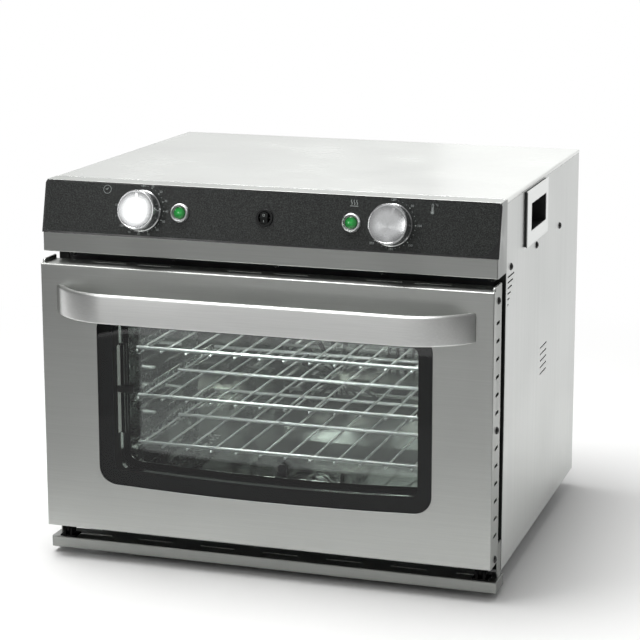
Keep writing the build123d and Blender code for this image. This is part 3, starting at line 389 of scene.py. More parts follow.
@dataclass(frozen=True)
class BrushedStainless(Finish):
    """Cold-rolled stainless sheet, belt-brushed: long soft streaks and a smeared reflection."""

    light: str = "C9CBC8"
    dark: str = "B9BBB8"
    roughness: float = 0.36
    lay: Lay = Lay.ACROSS
    smear: float = 0.5
    line_gap: float = 1.1  # real belt lines are 0.05 mm apart; drawn coarser so that they show
    line_run: float = 90.0
    cloud_gap: float = 140.0
    lift: float = 0.05
    depth: float = 0.4
    cloud_wear: float = 0.03  # how much the clouds change the roughness
    line_wear: float = 0.06  # how much the lines add to it
    mill: str = ""  # darker tone painted as shade on the folded flanges, where the sheet has some
    mill_face: Triple = (0.0, 1.0, 0.0)  # way that those flanges face
    mill_turn: float = 0.8  # how squarely a face has to look that way
    bend: float = 1.4  # mm: outer radius of the folds, which catch the light as thin lines
    bowed: bool = False  # whether the sheet bends sideways, so that the smear has to follow it

    def surface(self, tree: Tree) -> Node:
        """Metal with streaks along the grain, faint clouds, a smeared highlight and painted shade
        on its flanges.

        Args:
            tree: the material's tree.

        Returns:
            The shader's node.
        """
        gaps = [self.line_gap] * 3
        gaps["XYZ".index(self.lay.value)] = self.line_run
        lines = self.pattern(tree, gaps, Detail=3.0, Roughness=0.65)
        clouds = self.pattern(tree, self.cloud_gap, Detail=2.0)
        tone = add_node(tree, "ShaderNodeMix", {
            "Factor": lines, "A": linear(self.dark), "B": linear(self.light)}, data_type="RGBA")
        # painted shade: faces turned the flange way take the darker flange tone
        if self.mill:
            facing = add_node(tree, "ShaderNodeNewGeometry").outputs["True Normal"]
            along = add_node(tree, "ShaderNodeVectorMath", {0: facing, 1: self.mill_face},
                             operation="DOT_PRODUCT")
            size = add_node(tree, "ShaderNodeMath", {0: along}, operation="ABSOLUTE")
            shaded_flanges = add_node(tree, "ShaderNodeMath", {0: size, 1: self.mill_turn},
                              operation="GREATER_THAN")
            tone = add_node(tree, "ShaderNodeMix", {
                "Factor": shaded_flanges, "A": tone, "B": linear(self.mill)}, data_type="RGBA")
        wear = add_node(tree, "ShaderNodeMapRange", {
            "Value": clouds, "From Min": CLOUDS[0], "From Max": CLOUDS[1],
            "To Min": self.roughness - self.cloud_wear,
            "To Max": self.roughness + self.cloud_wear})
        grain = add_node(tree, "ShaderNodeMath", {0: lines, 1: self.line_wear, 2: wear},
                         operation="MULTIPLY_ADD")
        folds = add_node(tree, "ShaderNodeBevel", {"Radius": self.bend * MM}, samples=6)
        relief = add_node(tree, "ShaderNodeBump", {
            "Height": lines, "Strength": self.lift, "Distance": self.depth * MM, "Normal": folds})
        if self.bowed:
            flow = add_node(tree, "ShaderNodeVectorTransform", {"Vector": (0.0, 0.0, 1.0)},
                            vector_type="VECTOR", convert_from="OBJECT", convert_to="WORLD")
        else:
            flow = add_node(tree, "ShaderNodeTangent", direction_type="RADIAL",
                            axis=self.lay.value)
        return add_node(tree, "ShaderNodeBsdfPrincipled", {
            "Base Color": tone, "Roughness": grain, "Metallic": 1.0,
            "Anisotropic": self.smear, "Normal": relief, "Tangent": flow})


@dataclass(frozen=True)
class BrightSteel(Finish):
    """Bright rolled stainless: near-mirror, with slow waves left by forming the sheet."""

    colour: str = "CBCDCA"
    roughness: float = 0.07
    wave_gap: float = 60.0
    smudge_gap: float = 18.0
    spread: Pair = (0.75, 1.5)  # clean and smudged, as shares of the roughness
    lift: float = 0.2
    depth: float = 2.0

    def surface(self, tree: Tree) -> Node:
        """Metal with slow waves and faint smudges in its gloss.

        Args:
            tree: the material's tree.

        Returns:
            The shader's node.
        """
        waves = self.pattern(tree, self.wave_gap, Detail=1.0)
        smudges = self.pattern(tree, self.smudge_gap, Detail=4.0)
        ends = (self.roughness * self.spread[0], self.roughness * self.spread[1])
        return self.body(tree, self.colour, (smudges, SMUDGES, ends),
                         (waves, self.lift, self.depth), Metallic=1.0)


@dataclass(frozen=True)
class GalvanisedSheet(Finish):
    """Hot-dip zinc on steel: dull grey, its tone and gloss stepping from spangle to spangle."""

    light: str = "B9BCBD"
    dark: str = "989C9E"
    spangle: float = 12.0
    gloss: Pair = (0.32, 0.5)

    def surface(self, tree: Tree) -> Node:
        """Metal in spangles."""
        cells = self.pattern(tree, self.spangle, "ShaderNodeTexVoronoi").outputs["Color"]
        return self.body(tree, (cells, self.dark, self.light), (cells, CELLS, self.gloss),
                         Metallic=1.0)


@dataclass(frozen=True)
class Plating(Finish):
    """Nickel-chrome plate on steel or brass: mirror bright with a faint patchy haze."""

    colour: str = "D8D9DA"
    roughness: float = 0.07
    haze_gap: float = 6.0
    spread: Pair = (0.6, 1.8)  # clear and hazed, as shares of the roughness

    def surface(self, tree: Tree) -> Node:
        """Mirror metal with a patchy haze.

        Args:
            tree: the material's tree.

        Returns:
            The shader's node.
        """
        haze = self.pattern(tree, self.haze_gap, Detail=3.0)
        ends = (self.roughness * self.spread[0], self.roughness * self.spread[1])
        return self.body(tree, self.colour, (haze, CLOUDS, ends), Metallic=1.0)


@dataclass(frozen=True)
class SpunAluminium(Finish):
    """Aluminium faced on a lathe: circular cuts that gather the light into two wedges."""

    centre: Triple = (0.0, 0.0, 0.0)
    light: str = "E6E7E7"
    dark: str = "CFD1D2"
    roughness: float = 0.24
    spread: float = 0.04  # how much the cuts change the roughness
    cut_gap: float = 0.5  # real cuts are 0.1 mm apart; drawn coarser so that they show
    lift: float = 0.06
    depth: float = 0.2

    def surface(self, tree: Tree) -> Node:
        """Metal with rings about the knob's axis and a highlight smeared across them.

        Args:
            tree: the material's tree.

        Returns:
            The shader's node.
        """
        rings = add_node(tree, "ShaderNodeTexNoise", {
            "W": self.away(tree, self.centre), "Scale": 1000.0 / self.cut_gap, "Detail": 2.0},
            noise_dimensions="1D")
        flow = add_node(tree, "ShaderNodeTangent", direction_type="RADIAL", axis="Y")
        ends = (self.roughness - self.spread, self.roughness + self.spread)
        return self.body(tree, (rings, self.dark, self.light), (rings, CELLS, ends),
                         (rings, self.lift, self.depth), Metallic=1.0, Anisotropic=0.85,
                         Anisotropic_Rotation=0.25, Tangent=flow)


@dataclass(frozen=True)
class FlockedFilm(Finish):
    """Polyester control film with a stippled matt print: black with fine grey flecks."""

    ground: str = "171918"
    fleck: str = "464947"
    fleck_gap: float = 1.3
    sift: Pair = (0.42, 0.72)  # the noise's values from which a fleck shows, and shows fully
    roughness: float = 0.42
    lift: float = 0.25
    depth: float = 0.3

    def surface(self, tree: Tree) -> Node:
        """Dark satin film with flecks and a fine stipple.

        Args:
            tree: the material's tree.

        Returns:
            The shader's node.
        """
        flecks = self.pattern(tree, self.fleck_gap, Detail=2.0, Roughness=0.7)
        share = add_node(tree, "ShaderNodeMapRange", {
            "Value": flecks, "From Min": self.sift[0], "From Max": self.sift[1]})
        return self.body(tree, (share, self.ground, self.fleck), self.roughness,
                         (flecks, self.lift, self.depth), IOR=1.58, Specular_IOR_Level=0.3)


@dataclass(frozen=True)
class Moulding(Finish):
    """Moulded plastic or rubber: one colour with a fine spark-eroded grain."""

    colour: str = "1C1D1D"
    worn: str = "2A2B2B"
    roughness: float = 0.45
    spread: Pair = (-0.05, 0.06)  # change of the roughness where the tone drifts
    grain: float = 0.9
    drift_gap: float = 25.0
    lift: float = 0.12
    depth: float = 0.2
    ior: float = 1.53
    shine: float = 0.5

    def surface(self, tree: Tree) -> Node:
        """Plastic with a fine grain and slow changes of tone.

        Args:
            tree: the material's tree.

        Returns:
            The shader's node.
        """
        grains = self.pattern(tree, self.grain, Detail=2.0)
        drift = self.pattern(tree, self.drift_gap, Detail=3.0)
        ends = (self.roughness + self.spread[0], self.roughness + self.spread[1])
        return self.body(tree, (drift, self.colour, self.worn), (drift, CLOUDS, ends),
                         (grains, self.lift, self.depth), IOR=self.ior,
                         Specular_IOR_Level=self.shine)


@dataclass(frozen=True)
class OxidisedMetal(Finish):
    """Metal coloured by heat, oil or age: mottled between two tones."""

    light: str = "57504A"
    dark: str = "2E2A27"
    roughness: float = 0.5
    spread: Pair = (-0.12, 0.1)  # change of the roughness from the dark tone to the light one
    mottle: float = 7.0

    def surface(self, tree: Tree) -> Node:
        """Metal mottled between its two tones.

        Args:
            tree: the material's tree.

        Returns:
            The shader's node.
        """
        patches = self.pattern(tree, self.mottle, Detail=4.0)
        ends = (self.roughness + self.spread[0], self.roughness + self.spread[1])
        return self.body(tree, (patches, self.dark, self.light), (patches, CLOUDS, ends),
                         Metallic=1.0)


@dataclass(frozen=True)
class FloatGlass(Finish):
    """Toughened float glass: clear with a faint green body and a mirror skin.

    A pane with print bonded to its back mirrors on its front only, and a heat-reflecting
    coat, as oven doors have inside, mirrors more.
    """

    tint: str = "FAFCFB"
    bonded: bool = False
    ior: float = 1.5
    smudge_gap: float = 35.0
    haze: float = 0.03  # roughness where it is smudged

    def surface(self, tree: Tree) -> Node:
        """What lies behind, seen through a faint tint, under a smudged mirror skin.

        Args:
            tree: the material's tree.

        Returns:
            The shader's node.
        """
        smudges = self.pattern(tree, self.smudge_gap, Detail=3.0)
        gloss = add_node(tree, "ShaderNodeMapRange", {
            "Value": smudges, "From Min": SMUDGES[0], "From Max": SMUDGES[1],
            "To Min": 0.0, "To Max": self.haze})
        through = add_node(tree, "ShaderNodeBsdfTransparent", {"Color": linear(self.tint)})
        skin = add_node(tree, "ShaderNodeBsdfAnisotropic", {
            "Color": linear(WHITE), "Roughness": gloss})
        share = add_node(tree, "ShaderNodeFresnel", {"IOR": self.ior})
        if self.bonded:
            behind = add_node(tree, "ShaderNodeNewGeometry").outputs["Backfacing"]
            front = add_node(tree, "ShaderNodeMath", {0: 1.0, 1: behind}, operation="SUBTRACT")
            share = add_node(tree, "ShaderNodeMath", {0: share, 1: front},
                             operation="MULTIPLY")
        return add_node(tree, "ShaderNodeMixShader", {0: share, 1: through, 2: skin})


@dataclass(frozen=True)
class TintedLens(Finish):
    """Moulded green polycarbonate with a prism floor, its green painted: shade at the deep rim,
    light in the middle.
    """

    centre: Triple = (0.0, 0.0, 0.0)
    middle: str = "2AA748"
    rim: str = "06521B"
    reach: float = 9.0
    bright: float = 0.25  # share of the reach that takes the full painted light of the middle
    roughness: float = 0.12

    def surface(self, tree: Tree) -> Node:
        """Glossy green with painted light towards the lens's middle and painted shade at its rim.

        Args:
            tree: the material's tree.

        Returns:
            The shader's node.
        """
        # painted light in the middle, painted shade at the rim
        fade = add_node(tree, "ShaderNodeMapRange", {
            "Value": self.away(tree, self.centre), "From Min": self.bright * self.reach * MM,
            "From Max": self.reach * MM})
        return self.body(tree, (fade, self.middle, self.rim), self.roughness, IOR=1.58,
                         Coat_Weight=0.6, Coat_Roughness=0.04)


@dataclass(frozen=True)
class WoolBlanket(Finish):
    """Mineral wool: matt, fibrous and uneven."""

    light: str = "D8CFA8"
    dark: str = "A99B6C"
    tuft: Triple = (3.0, 9.0, 3.0)
    roughness: float = 0.95
    lift: float = 0.6
    depth: float = 2.0

    def surface(self, tree: Tree) -> Node:
        """Matt fibres in two tones."""
        fibres = self.pattern(tree, self.tuft, Detail=5.0, Distortion=1.5)
        return self.body(tree, (fibres, self.dark, self.light), self.roughness,
                         (fibres, self.lift, self.depth), Sheen_Weight=0.3)


@dataclass(frozen=True)
class PrintedInk(Finish):
    """Screen-printed ink: thin, pale and matt, with pinholes that dull it a little."""

    colour: str = "AEB4B2"
    dull: str = "8B918F"
    hole_gap: float = 0.8
    roughness: float = 0.6

    def surface(self, tree: Tree) -> Node:
        """Pale ink with pinholes."""
        holes = self.pattern(tree, self.hole_gap, Detail=1.0)
        return self.body(tree, (holes, self.dull, self.colour), self.roughness,
                         IOR=1.5)


SIDEWAYS = (1.0, 0.0, 0.0)
# painted shade: the fascia is a darker copy of the stainless, with its end faces darker still
SHADED_FASCIA_SHEET = BrushedStainless("stainless_fascia_brushed_across_painted_shade", light="BEC0BD", dark="AEB0AD",
                                mill="9C9E9C", mill_face=SIDEWAYS)
# painted shade on the door's side faces, which take a darker tone
DOOR_SHEET = BrushedStainless("stainless_door_brushed_across", mill="A3A5A2",
                              mill_face=SIDEWAYS)
# painted light: the side sheet is a lighter copy of the stainless, and its front flanges are
# painted near black as the shade in the gap beside the door
LIT_SIDE_SHEET = BrushedStainless("stainless_side_brushed_upright_painted_light", lay=Lay.UPRIGHT,
                              light="DADCDA", dark="C0C2C0", roughness=0.32, line_gap=4.0,
                              line_run=500.0, mill="3A3B3A")
# painted shade: the ledge is a darker copy of the stainless
SHADED_LEDGE_SHEET = BrushedStainless("stainless_ledge_brushed_across_painted_shade", light="A2A4A1", dark="8E908D",
                               roughness=0.3, mill="8A8C89", mill_face=SIDEWAYS)
# painted light: the top is a lighter copy of the stainless
LIT_TOP_SHEET = BrushedStainless("stainless_top_brushed_painted_light", roughness=0.22, light="DCDEDB",
                             dark="D2D4D1", smear=0.8)
# painted light: the grip plates are a lighter copy of the stainless
LIT_GRIP_SHEET = BrushedStainless("stainless_grip_plate_brushed_painted_light", lay=Lay.DEEP, light="E2E4E2",
                              dark="D6D8D6", roughness=0.3)
# painted light: the handle is a near-white copy of the stainless
LIT_HANDLE_STRIP = BrushedStainless("stainless_strip_satin_painted_light", roughness=0.4, line_gap=1.6,
                                light="F8F9F7", dark="E6E7E5", smear=0.8, bowed=True)
CHAMBER_SHEET = BrightSteel("bright_rolled_stainless")
ZINC_SHEET = GalvanisedSheet("hot_dip_galvanised_sheet")
CHROME = Plating("nickel_chrome_plate")
PLATED_WIRE = Plating("nickel_plated_wire", colour="B4B7B6", roughness=0.45)
# painted light: the lamp bezels are a near-white copy of the plate
LIT_LAMP_RING = Plating("satin_nickel_plate_painted_light", colour="F4F5F5", roughness=0.42)
# painted shade: the rack supports are a darker copy of the plate
SHADED_RUNNER_SHEET = Plating("nickel_plated_runner_painted_shade", colour="8C908E", roughness=0.2)
LEFT_KNOB = SpunAluminium("spun_aluminium_left", centre=panel_point(-KNOB_X, KNOB_FACE))
RIGHT_KNOB = SpunAluminium("spun_aluminium_right", centre=panel_point(KNOB_X, KNOB_FACE))
CONTROL_FILM = FlockedFilm("stippled_black_film")
PANEL_EDGE = Moulding("gloss_black_panel_edge", colour="141515", worn="1B1C1C", roughness=0.22,
                      lift=0.02)
GLAZE = Moulding("black_ceramic_frit", colour="101111", worn="161717", roughness=0.5, lift=0.02,
                 shine=0.0)
BLACK_PLASTIC = Moulding("moulded_black_nylon")
SWITCH_BLACK = Moulding("moulded_black_switch", colour="131414", worn="1B1C1C", roughness=0.4,
                        shine=0.25)
WHITE_PLASTIC = Moulding("moulded_white_nylon", colour="D9D8D0", worn="E4E3DC", roughness=0.5)
RUBBER = Moulding("moulded_black_rubber", colour="191919", worn="242424", roughness=0.7,
                  grain=1.4, lift=0.3)
DOOR_SEAL = Moulding("woven_grey_silicone", colour="55565A", worn="66676B", roughness=0.75,
                     grain=2.2, lift=0.6)
# black enamel of the fan motor; on the front frame the same black is painted shade in the gap
# behind the door
BLACK_ENAMEL_AND_SHADE = Moulding("black_enamel_and_painted_shade", colour="1A1B1D", worn="232427", roughness=0.35)
HOT_SHEATH = OxidisedMetal("oxidised_heater_sheath")
BLACK_OXIDE = OxidisedMetal("blackened_screw_steel", light="3A3A3A", dark="1B1B1B",
                            roughness=0.34, mottle=3.0)
BLUED_STEEL = OxidisedMetal("blued_screw_steel", light="5C5C5C", dark="1C1C1C", roughness=0.2,
                            mottle=3.0)
# painted shade: the hinge steel is near black so that the hinges sit in the shade under the door
SHADED_HINGE_STEEL = OxidisedMetal("near_black_hinge_steel_painted_shade", light="202020", dark="121212",
                            roughness=0.6, mottle=4.0)
BARE_COPPER = OxidisedMetal("bare_copper", light="C98A63", dark="9A5F40", roughness=0.35)
COATED_GLASS = FloatGlass("heat_reflecting_float_glass", ior=1.75)
PRINTED_GLASS = FloatGlass("toughened_float_glass_printed", bonded=True)
WOOL = WoolBlanket("mineral_wool")
INK = PrintedInk("screen_printed_ink")
LEFT_LENS = TintedLens("green_lens_left", centre=panel_point(-LAMP_X, LENS_CROWN))
RIGHT_LENS = TintedLens("green_lens_right", centre=panel_point(LAMP_X, LENS_CROWN))


# Geometry Nodes: what repeats or follows a path


class Maker:
    """A geometry tree with named sizes, run once to make a plain mesh."""

    sizes: dict[str, str] = {}  # socket type of each named input

    def __init__(self) -> None:
        """Start the tree with its named inputs, then build it."""
        self.tree = bpy.data.node_groups.new(type(self).__name__, "GeometryNodeTree")
        face = self.tree.interface
        face.new_socket("Geometry", in_out="INPUT", socket_type="NodeSocketGeometry")
        self.keys = {
            label: face.new_socket(label, in_out="INPUT", socket_type="NodeSocket" + kind)
            .identifier for label, kind in {**self.sizes, "Finish": "Material"}.items()}
        face.new_socket("Geometry", in_out="OUTPUT", socket_type="NodeSocketGeometry")
        self.given = self.node("NodeGroupInput").outputs
        self.build(*(self.given[label] for label in self.sizes))

    def build(self, *sizes: Socket) -> None:
        """Add the tree's own nodes, from the sockets of its sizes, and close it."""
        raise NotImplementedError

    def node(self, kind: str, inputs: Optional[dict[Any, Any]] = None, **settings: Any) -> Node:
        """Node added to the tree."""
        return add_node(self.tree, kind, inputs, **settings)

    def finish(self, geometry: Node, smooth: bool = True) -> None:
        """Close the tree: make instances real, shade them and set their finish.

        Args:
            geometry: node that gives the shape.
            smooth: whether the faces shade smoothly.
        """
        real = self.node("GeometryNodeRealizeInstances", {0: geometry})
        shaded = self.node("GeometryNodeSetShadeSmooth", {0: real, "Shade Smooth": smooth})
        dressed = self.node("GeometryNodeSetMaterial", {
            "Geometry": shaded, "Material": self.given["Finish"]})
        self.node("NodeGroupOutput", {0: dressed})

    def run(self, finish: Finish, points: Points = ((0.0, 0.0, 0.0),),
            edges: Sequence[tuple[int, int]] = (), **sizes: Any) -> Mesh:
        """Run the tree and keep the result as a plain mesh.

        Args:
            finish: finish of the shape.
            points: points that the tree works on, in metres.
            edges: lines between the points, by their numbers.
            sizes: value of each named input, with underscores for spaces.

        Returns:
            The mesh.
        """
        holder = put("holder", mesh_from(points, edges=edges))
        step = holder.modifiers.new("make", "NODES")
        step.node_group = self.tree
        for label, value in sizes.items():
            step[self.keys[label.replace("_", " ")]] = value
        step[self.keys["Finish"]] = finish.material()
        return evaluated_mesh(holder)


class ScrewHeads(Maker):
    """Dome-headed cross-recess screws, one on each point."""

    sizes = {"Radius": "Float", "Height": "Float", "Recess": "Float", "Facing": "Vector"}
    cross_reach = 1.15  # of the head's radius, so that the cross runs out through the rim
    cross_depth = 0.9  # of the head's height

    def build(self, radius: Socket, height: Socket, width: Socket, facing: Socket) -> None:
        """A flattened dome less a cross, turned to face out and put on every point.

        Args:
            radius: socket of the head's radius.
            height: socket of the head's height.
            width: socket of the cross's width.
            facing: socket of the way that the head faces.
        """
        ball = self.node("GeometryNodeMeshUVSphere", {
            "Segments": 20, "Rings": 12, "Radius": radius})
        squash = self.node("ShaderNodeMath", {0: height, 1: radius}, operation="DIVIDE")
        low = self.node("GeometryNodeTransform", {
            "Geometry": ball, "Scale": (1.0, 1.0, squash)})
        where = self.node("ShaderNodeSeparateXYZ", {
            0: self.node("GeometryNodeInputPosition")}).outputs
        above = self.node("ShaderNodeMath", {0: where["Z"], 1: 0.0}, operation="MAXIMUM")
        dome = self.node("GeometryNodeSetPosition", {
            "Geometry": low, "Position": (where["X"], where["Y"], above)})
        reach = self.node("ShaderNodeMath", {0: radius, 1: self.cross_reach},
                          operation="MULTIPLY")
        deep = self.node("ShaderNodeMath", {0: height, 1: self.cross_depth},
                         operation="MULTIPLY")
        blades = [self.node("GeometryNodeTransform", {
            "Geometry": self.node("GeometryNodeMeshCube", {"Size": size}),
            "Translation": (0.0, 0.0, height)})
            for size in ((width, reach, deep), (reach, width, deep))]
        cut = self.node("GeometryNodeMeshBoolean", {"Mesh 1": dome, "Mesh 2": blades},
                        operation="DIFFERENCE", solver="EXACT")
        turn = self.node("FunctionNodeAlignRotationToVector", {"Vector": facing}, axis="Z")
        heads = self.node("GeometryNodeInstanceOnPoints", {
            "Points": self.given["Geometry"], "Instance": cut, "Rotation": turn})
        self.finish(heads, smooth=False)

    def heads(self, finish: Finish, points: Sequence[Vector], facing: Triple,
              height: float = 3.0, radius: float = 4.8, recess: float = 1.1) -> Mesh:
        """Heads on some points; sizes in millimetres.

        Args:
            finish: finish of the screws.
            points: middle of each seat, in metres.
            facing: way that the heads face.
            height: height of a head.
            radius: radius of a head.
            recess: width of its cross.

        Returns:
            The mesh.
        """
        return self.run(finish, points, Radius=radius * MM, Height=height * MM,
                        Recess=recess * MM, Facing=facing)

    def both_sides(self, finish: Finish, x: float, spots: Sequence[Pair]) -> Mesh:
        """The same heads on the oven's left and right, facing out.

        Args:
            finish: finish of the screws.
            x: millimetres from the middle to the sheet that they sit on.
            spots: depth and height of each screw in millimetres, measured from the seam.

        Returns:
            The mesh.
        """
        return merged([self.heads(finish, [at(side * x, y, z) for y, z in spots],
                                  (side, 0.0, 0.0)) for side in (-1.0, 1.0)])


class DialDots(Maker):
    """Round dots at equal steps on an arc, every so many of them large."""

    sizes = {"Count": "Int", "Start": "Float", "Step": "Float", "Radius": "Float",
             "Dot": "Float", "Small": "Float", "Every": "Int"}
    thickness = 0.06  # mm

    def build(self, count: Socket, start: Socket, step: Socket, reach: Socket, dot: Socket,
              small: Socket, every: Socket) -> None:
        """Points on the arc, each with a small disc of its size.

        Args:
            count: socket of the number of dots.
            start: socket of the first dot's turn from the top, in radians.
            step: socket of the turn between dots.
            reach: socket of the arc's radius.
            dot: socket of a large dot's radius.
            small: socket of a small dot's radius.
            every: socket of how many dots make up one large one's step.
        """
        line = self.node("GeometryNodeMeshLine", {"Count": count})
        number = self.node("GeometryNodeInputIndex")
        past = self.node("ShaderNodeMath", {0: number, 1: step}, operation="MULTIPLY")
        turn = self.node("ShaderNodeMath", {0: start, 1: past}, operation="ADD")
        spot = tuple(self.node("ShaderNodeMath", {
            0: reach, 1: self.node("ShaderNodeMath", {0: turn}, operation=part)},
            operation="MULTIPLY") for part in ("SINE", "COSINE"))
        arc = self.node("GeometryNodeSetPosition", {"Geometry": line, "Position": spot})
        rest = self.node("ShaderNodeMath", {0: number, 1: every}, operation="MODULO")
        minor = self.node("ShaderNodeMath", {0: rest, 1: 0.5}, operation="GREATER_THAN")
        size = self.node("GeometryNodeSwitch", {
            "Switch": minor, "False": dot, "True": small}, input_type="FLOAT")
        disc = self.node("GeometryNodeMeshCylinder", {
            "Vertices": 12, "Radius": 1.0, "Depth": self.thickness * MM})
        dots = self.node("GeometryNodeInstanceOnPoints", {
            "Points": arc, "Instance": disc, "Scale": (size, size, 1.0)})
        self.finish(dots, smooth=False)


class WireRack(Maker):
    """Welded rack: a row of depth wires with ball ends under three cross rods."""

    sizes = {"Half width": "Float", "Front": "Float", "Back": "Float", "Level": "Float",
             "Drop": "Float", "Rod radius": "Float", "Wire radius": "Float", "Wires": "Int",
             "Over": "Float"}

    def bar(self, start: tuple, end: tuple, radius: Socket, ball: float) -> Node:
        """Round bar with a ball at each end.

        Args:
            start: the first ball's middle.
            end: the other ball's middle.
            radius: socket of the bar's radius.
            ball: radius of a ball, as a share of the bar's.

        Returns:
            The node that gives the bar.
        """
        line = self.node("GeometryNodeCurvePrimitiveLine", {"Start": start, "End": end})
        ring = self.node("GeometryNodeCurvePrimitiveCircle", {
            "Resolution": 12, "Radius": radius})
        tube = self.node("GeometryNodeCurveToMesh", {
            "Curve": line, "Profile Curve": ring, "Fill Caps": True})
        size = self.node("ShaderNodeMath", {0: radius, 1: ball}, operation="MULTIPLY")
        tip = self.node("GeometryNodeMeshUVSphere", {
            "Segments": 12, "Rings": 8, "Radius": size})
        tips = [self.node("GeometryNodeTransform", {"Geometry": tip, "Translation": place})
                for place in (start, end)]
        return self.node("GeometryNodeJoinGeometry", {0: [tube, *tips]})

    def build(self, half: Socket, front: Socket, back: Socket, level: Socket, drop: Socket,
              rod_radius: Socket, wire_radius: Socket, count: Socket, over: Socket) -> None:
        """Rods at the front, middle and back, and wires at an even pitch under them.

        Args:
            half: socket of half the rack's width.
            front: socket of the front rod's place.
            back: socket of the back rod's place.
            level: socket of the rods' height.
            drop: socket of how far the wires lie under the rods.
            rod_radius: socket of a rod's radius.
            wire_radius: socket of a wire's radius.
            count: socket of the number of wires.
            over: socket of how far the wires run past the outer rods.
        """
        left = self.node("ShaderNodeMath", {0: half, 1: -1.0}, operation="MULTIPLY")
        low = self.node("ShaderNodeMath", {0: level, 1: drop}, operation="SUBTRACT")
        both = self.node("ShaderNodeMath", {0: front, 1: back}, operation="ADD")
        middle = self.node("ShaderNodeMath", {0: both, 1: 0.5}, operation="MULTIPLY")
        first = self.node("ShaderNodeMath", {0: front, 1: over}, operation="SUBTRACT")
        last = self.node("ShaderNodeMath", {0: back, 1: over}, operation="ADD")
        gaps = self.node("ShaderNodeMath", {0: count, 1: 1.0}, operation="SUBTRACT")
        width = self.node("ShaderNodeMath", {0: half, 1: 2.0}, operation="MULTIPLY")
        pitch = self.node("ShaderNodeMath", {0: width, 1: gaps}, operation="DIVIDE")
        rod = self.bar((left, 0.0, 0.0), (half, 0.0, 0.0), rod_radius, 1.04)
        rods = [self.node("GeometryNodeTransform", {
            "Geometry": rod, "Translation": (0.0, y, level)}) for y in (front, middle, back)]
        wire = self.bar((0.0, first, low), (0.0, last, low), wire_radius, 1.3)
        row = self.node("GeometryNodeMeshLine", {
            "Count": count, "Start Location": (left, 0.0, 0.0), "Offset": (pitch, 0.0, 0.0)})
        wires = self.node("GeometryNodeInstanceOnPoints", {"Points": row, "Instance": wire})
        self.finish(self.node("GeometryNodeJoinGeometry", {0: [*rods, wires]}))


class BowedStrip(Maker):
    """Channel strip swept along a path that bends at two rounded corners."""

    sizes = {"Bend": "Float", "Half height": "Float", "Roll": "Float", "Thickness": "Float",
             "Return": "Float"}

    def build(self, bend: Socket, half: Socket, roll: Socket, thick: Socket,
              back: Socket) -> None:
        """The channel's section, filleted at its rolled edges, swept along the path.

        Args:
            bend: socket of the radius of the path's corners.
            half: socket of half the strip's height.
            roll: socket of the radius of its rolled edges.
            thick: socket of its thickness.
            back: socket of the width of its returned edges.
        """
        path = self.node("GeometryNodeMeshToCurve", {"Mesh": self.given["Geometry"]})
        eased = self.node("GeometryNodeFilletCurve", {
            "Curve": path, "Radius": bend, "Limit Radius": False, "Count": 28}, mode="POLY")
        level = self.node("GeometryNodeSetCurveNormal", {"Curve": eased}, mode="Z_UP")
        inner = self.node("ShaderNodeMath", {0: half, 1: thick}, operation="SUBTRACT")
        face, tip, foot, inner_foot = (
            self.node("ShaderNodeMath", {0: size, 1: -1.0}, operation="MULTIPLY")
            for size in (thick, back, half, inner))
        outline = [(0.0, half), (tip, half), (tip, inner), (face, inner),
                   (face, inner_foot), (tip, inner_foot), (tip, foot), (0.0, foot)]
        shape = self.node("GeometryNodeMeshLine", {"Count": len(outline)})
        number = self.node("GeometryNodeInputIndex")
        section = self.node("ShaderNodeCombineXYZ", dict(enumerate(outline[0])))
        for i, spot in enumerate(outline[1:], 1):
            here = self.node("FunctionNodeCompare", {
                "A": number, "B": float(i), "Epsilon": 0.1},
                data_type="FLOAT", operation="EQUAL")
            section = self.node("GeometryNodeSwitch", {
                "Switch": here, "False": section, "True": spot}, input_type="VECTOR")
        placed = self.node("GeometryNodeSetPosition", {"Geometry": shape, "Position": section})
        ring = self.node("GeometryNodeSetSplineCyclic", {
            "Geometry": self.node("GeometryNodeMeshToCurve", {"Mesh": placed}),
            "Cyclic": True})
        rolled = self.node("GeometryNodeFilletCurve", {
            "Curve": ring, "Radius": roll, "Limit Radius": True, "Count": 5}, mode="POLY")
        self.finish(self.node("GeometryNodeCurveToMesh", {
            "Curve": level, "Profile Curve": rolled, "Fill Caps": True}))


# Sub-assemblies: sizes in millimetres, depths measured from the seam


def fit(name: str, mesh: Mesh, finish: Finish, body: str, slot: str, *instead: str) -> Piece:
    """Make a piece, dress it and ride it on a body.

    Args:
        name: name of the piece.
        mesh: its mesh, in its place.
        finish: its finish.
        body: the body that carries it.
        slot: material slot that its finish belongs to; not used.
        instead: nodes that it stands for.

    Returns:
        The piece.
    """
    mesh.name = name
    piece = put(name, mesh)
    finish.dress(piece)
    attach(piece, body)
    if instead:
        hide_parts(*instead)
    return piece


class Assembly:
    """A sub-assembly: finishes for its plain nodes, and finer pieces of its own."""

    looks: ClassVar[dict[Finish, str]] = {}

    def build(self) -> list[Piece]:
        """Dress the plain nodes and fit the finer pieces.

        Returns:
            The finer pieces.
        """
        for finish, names in self.looks.items():
            finish.dress(*(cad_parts[name] for name in names.split()))
        return self.pieces()

    def pieces(self) -> list[Piece]:
        """The finer pieces, fitted."""
        raise NotImplementedError


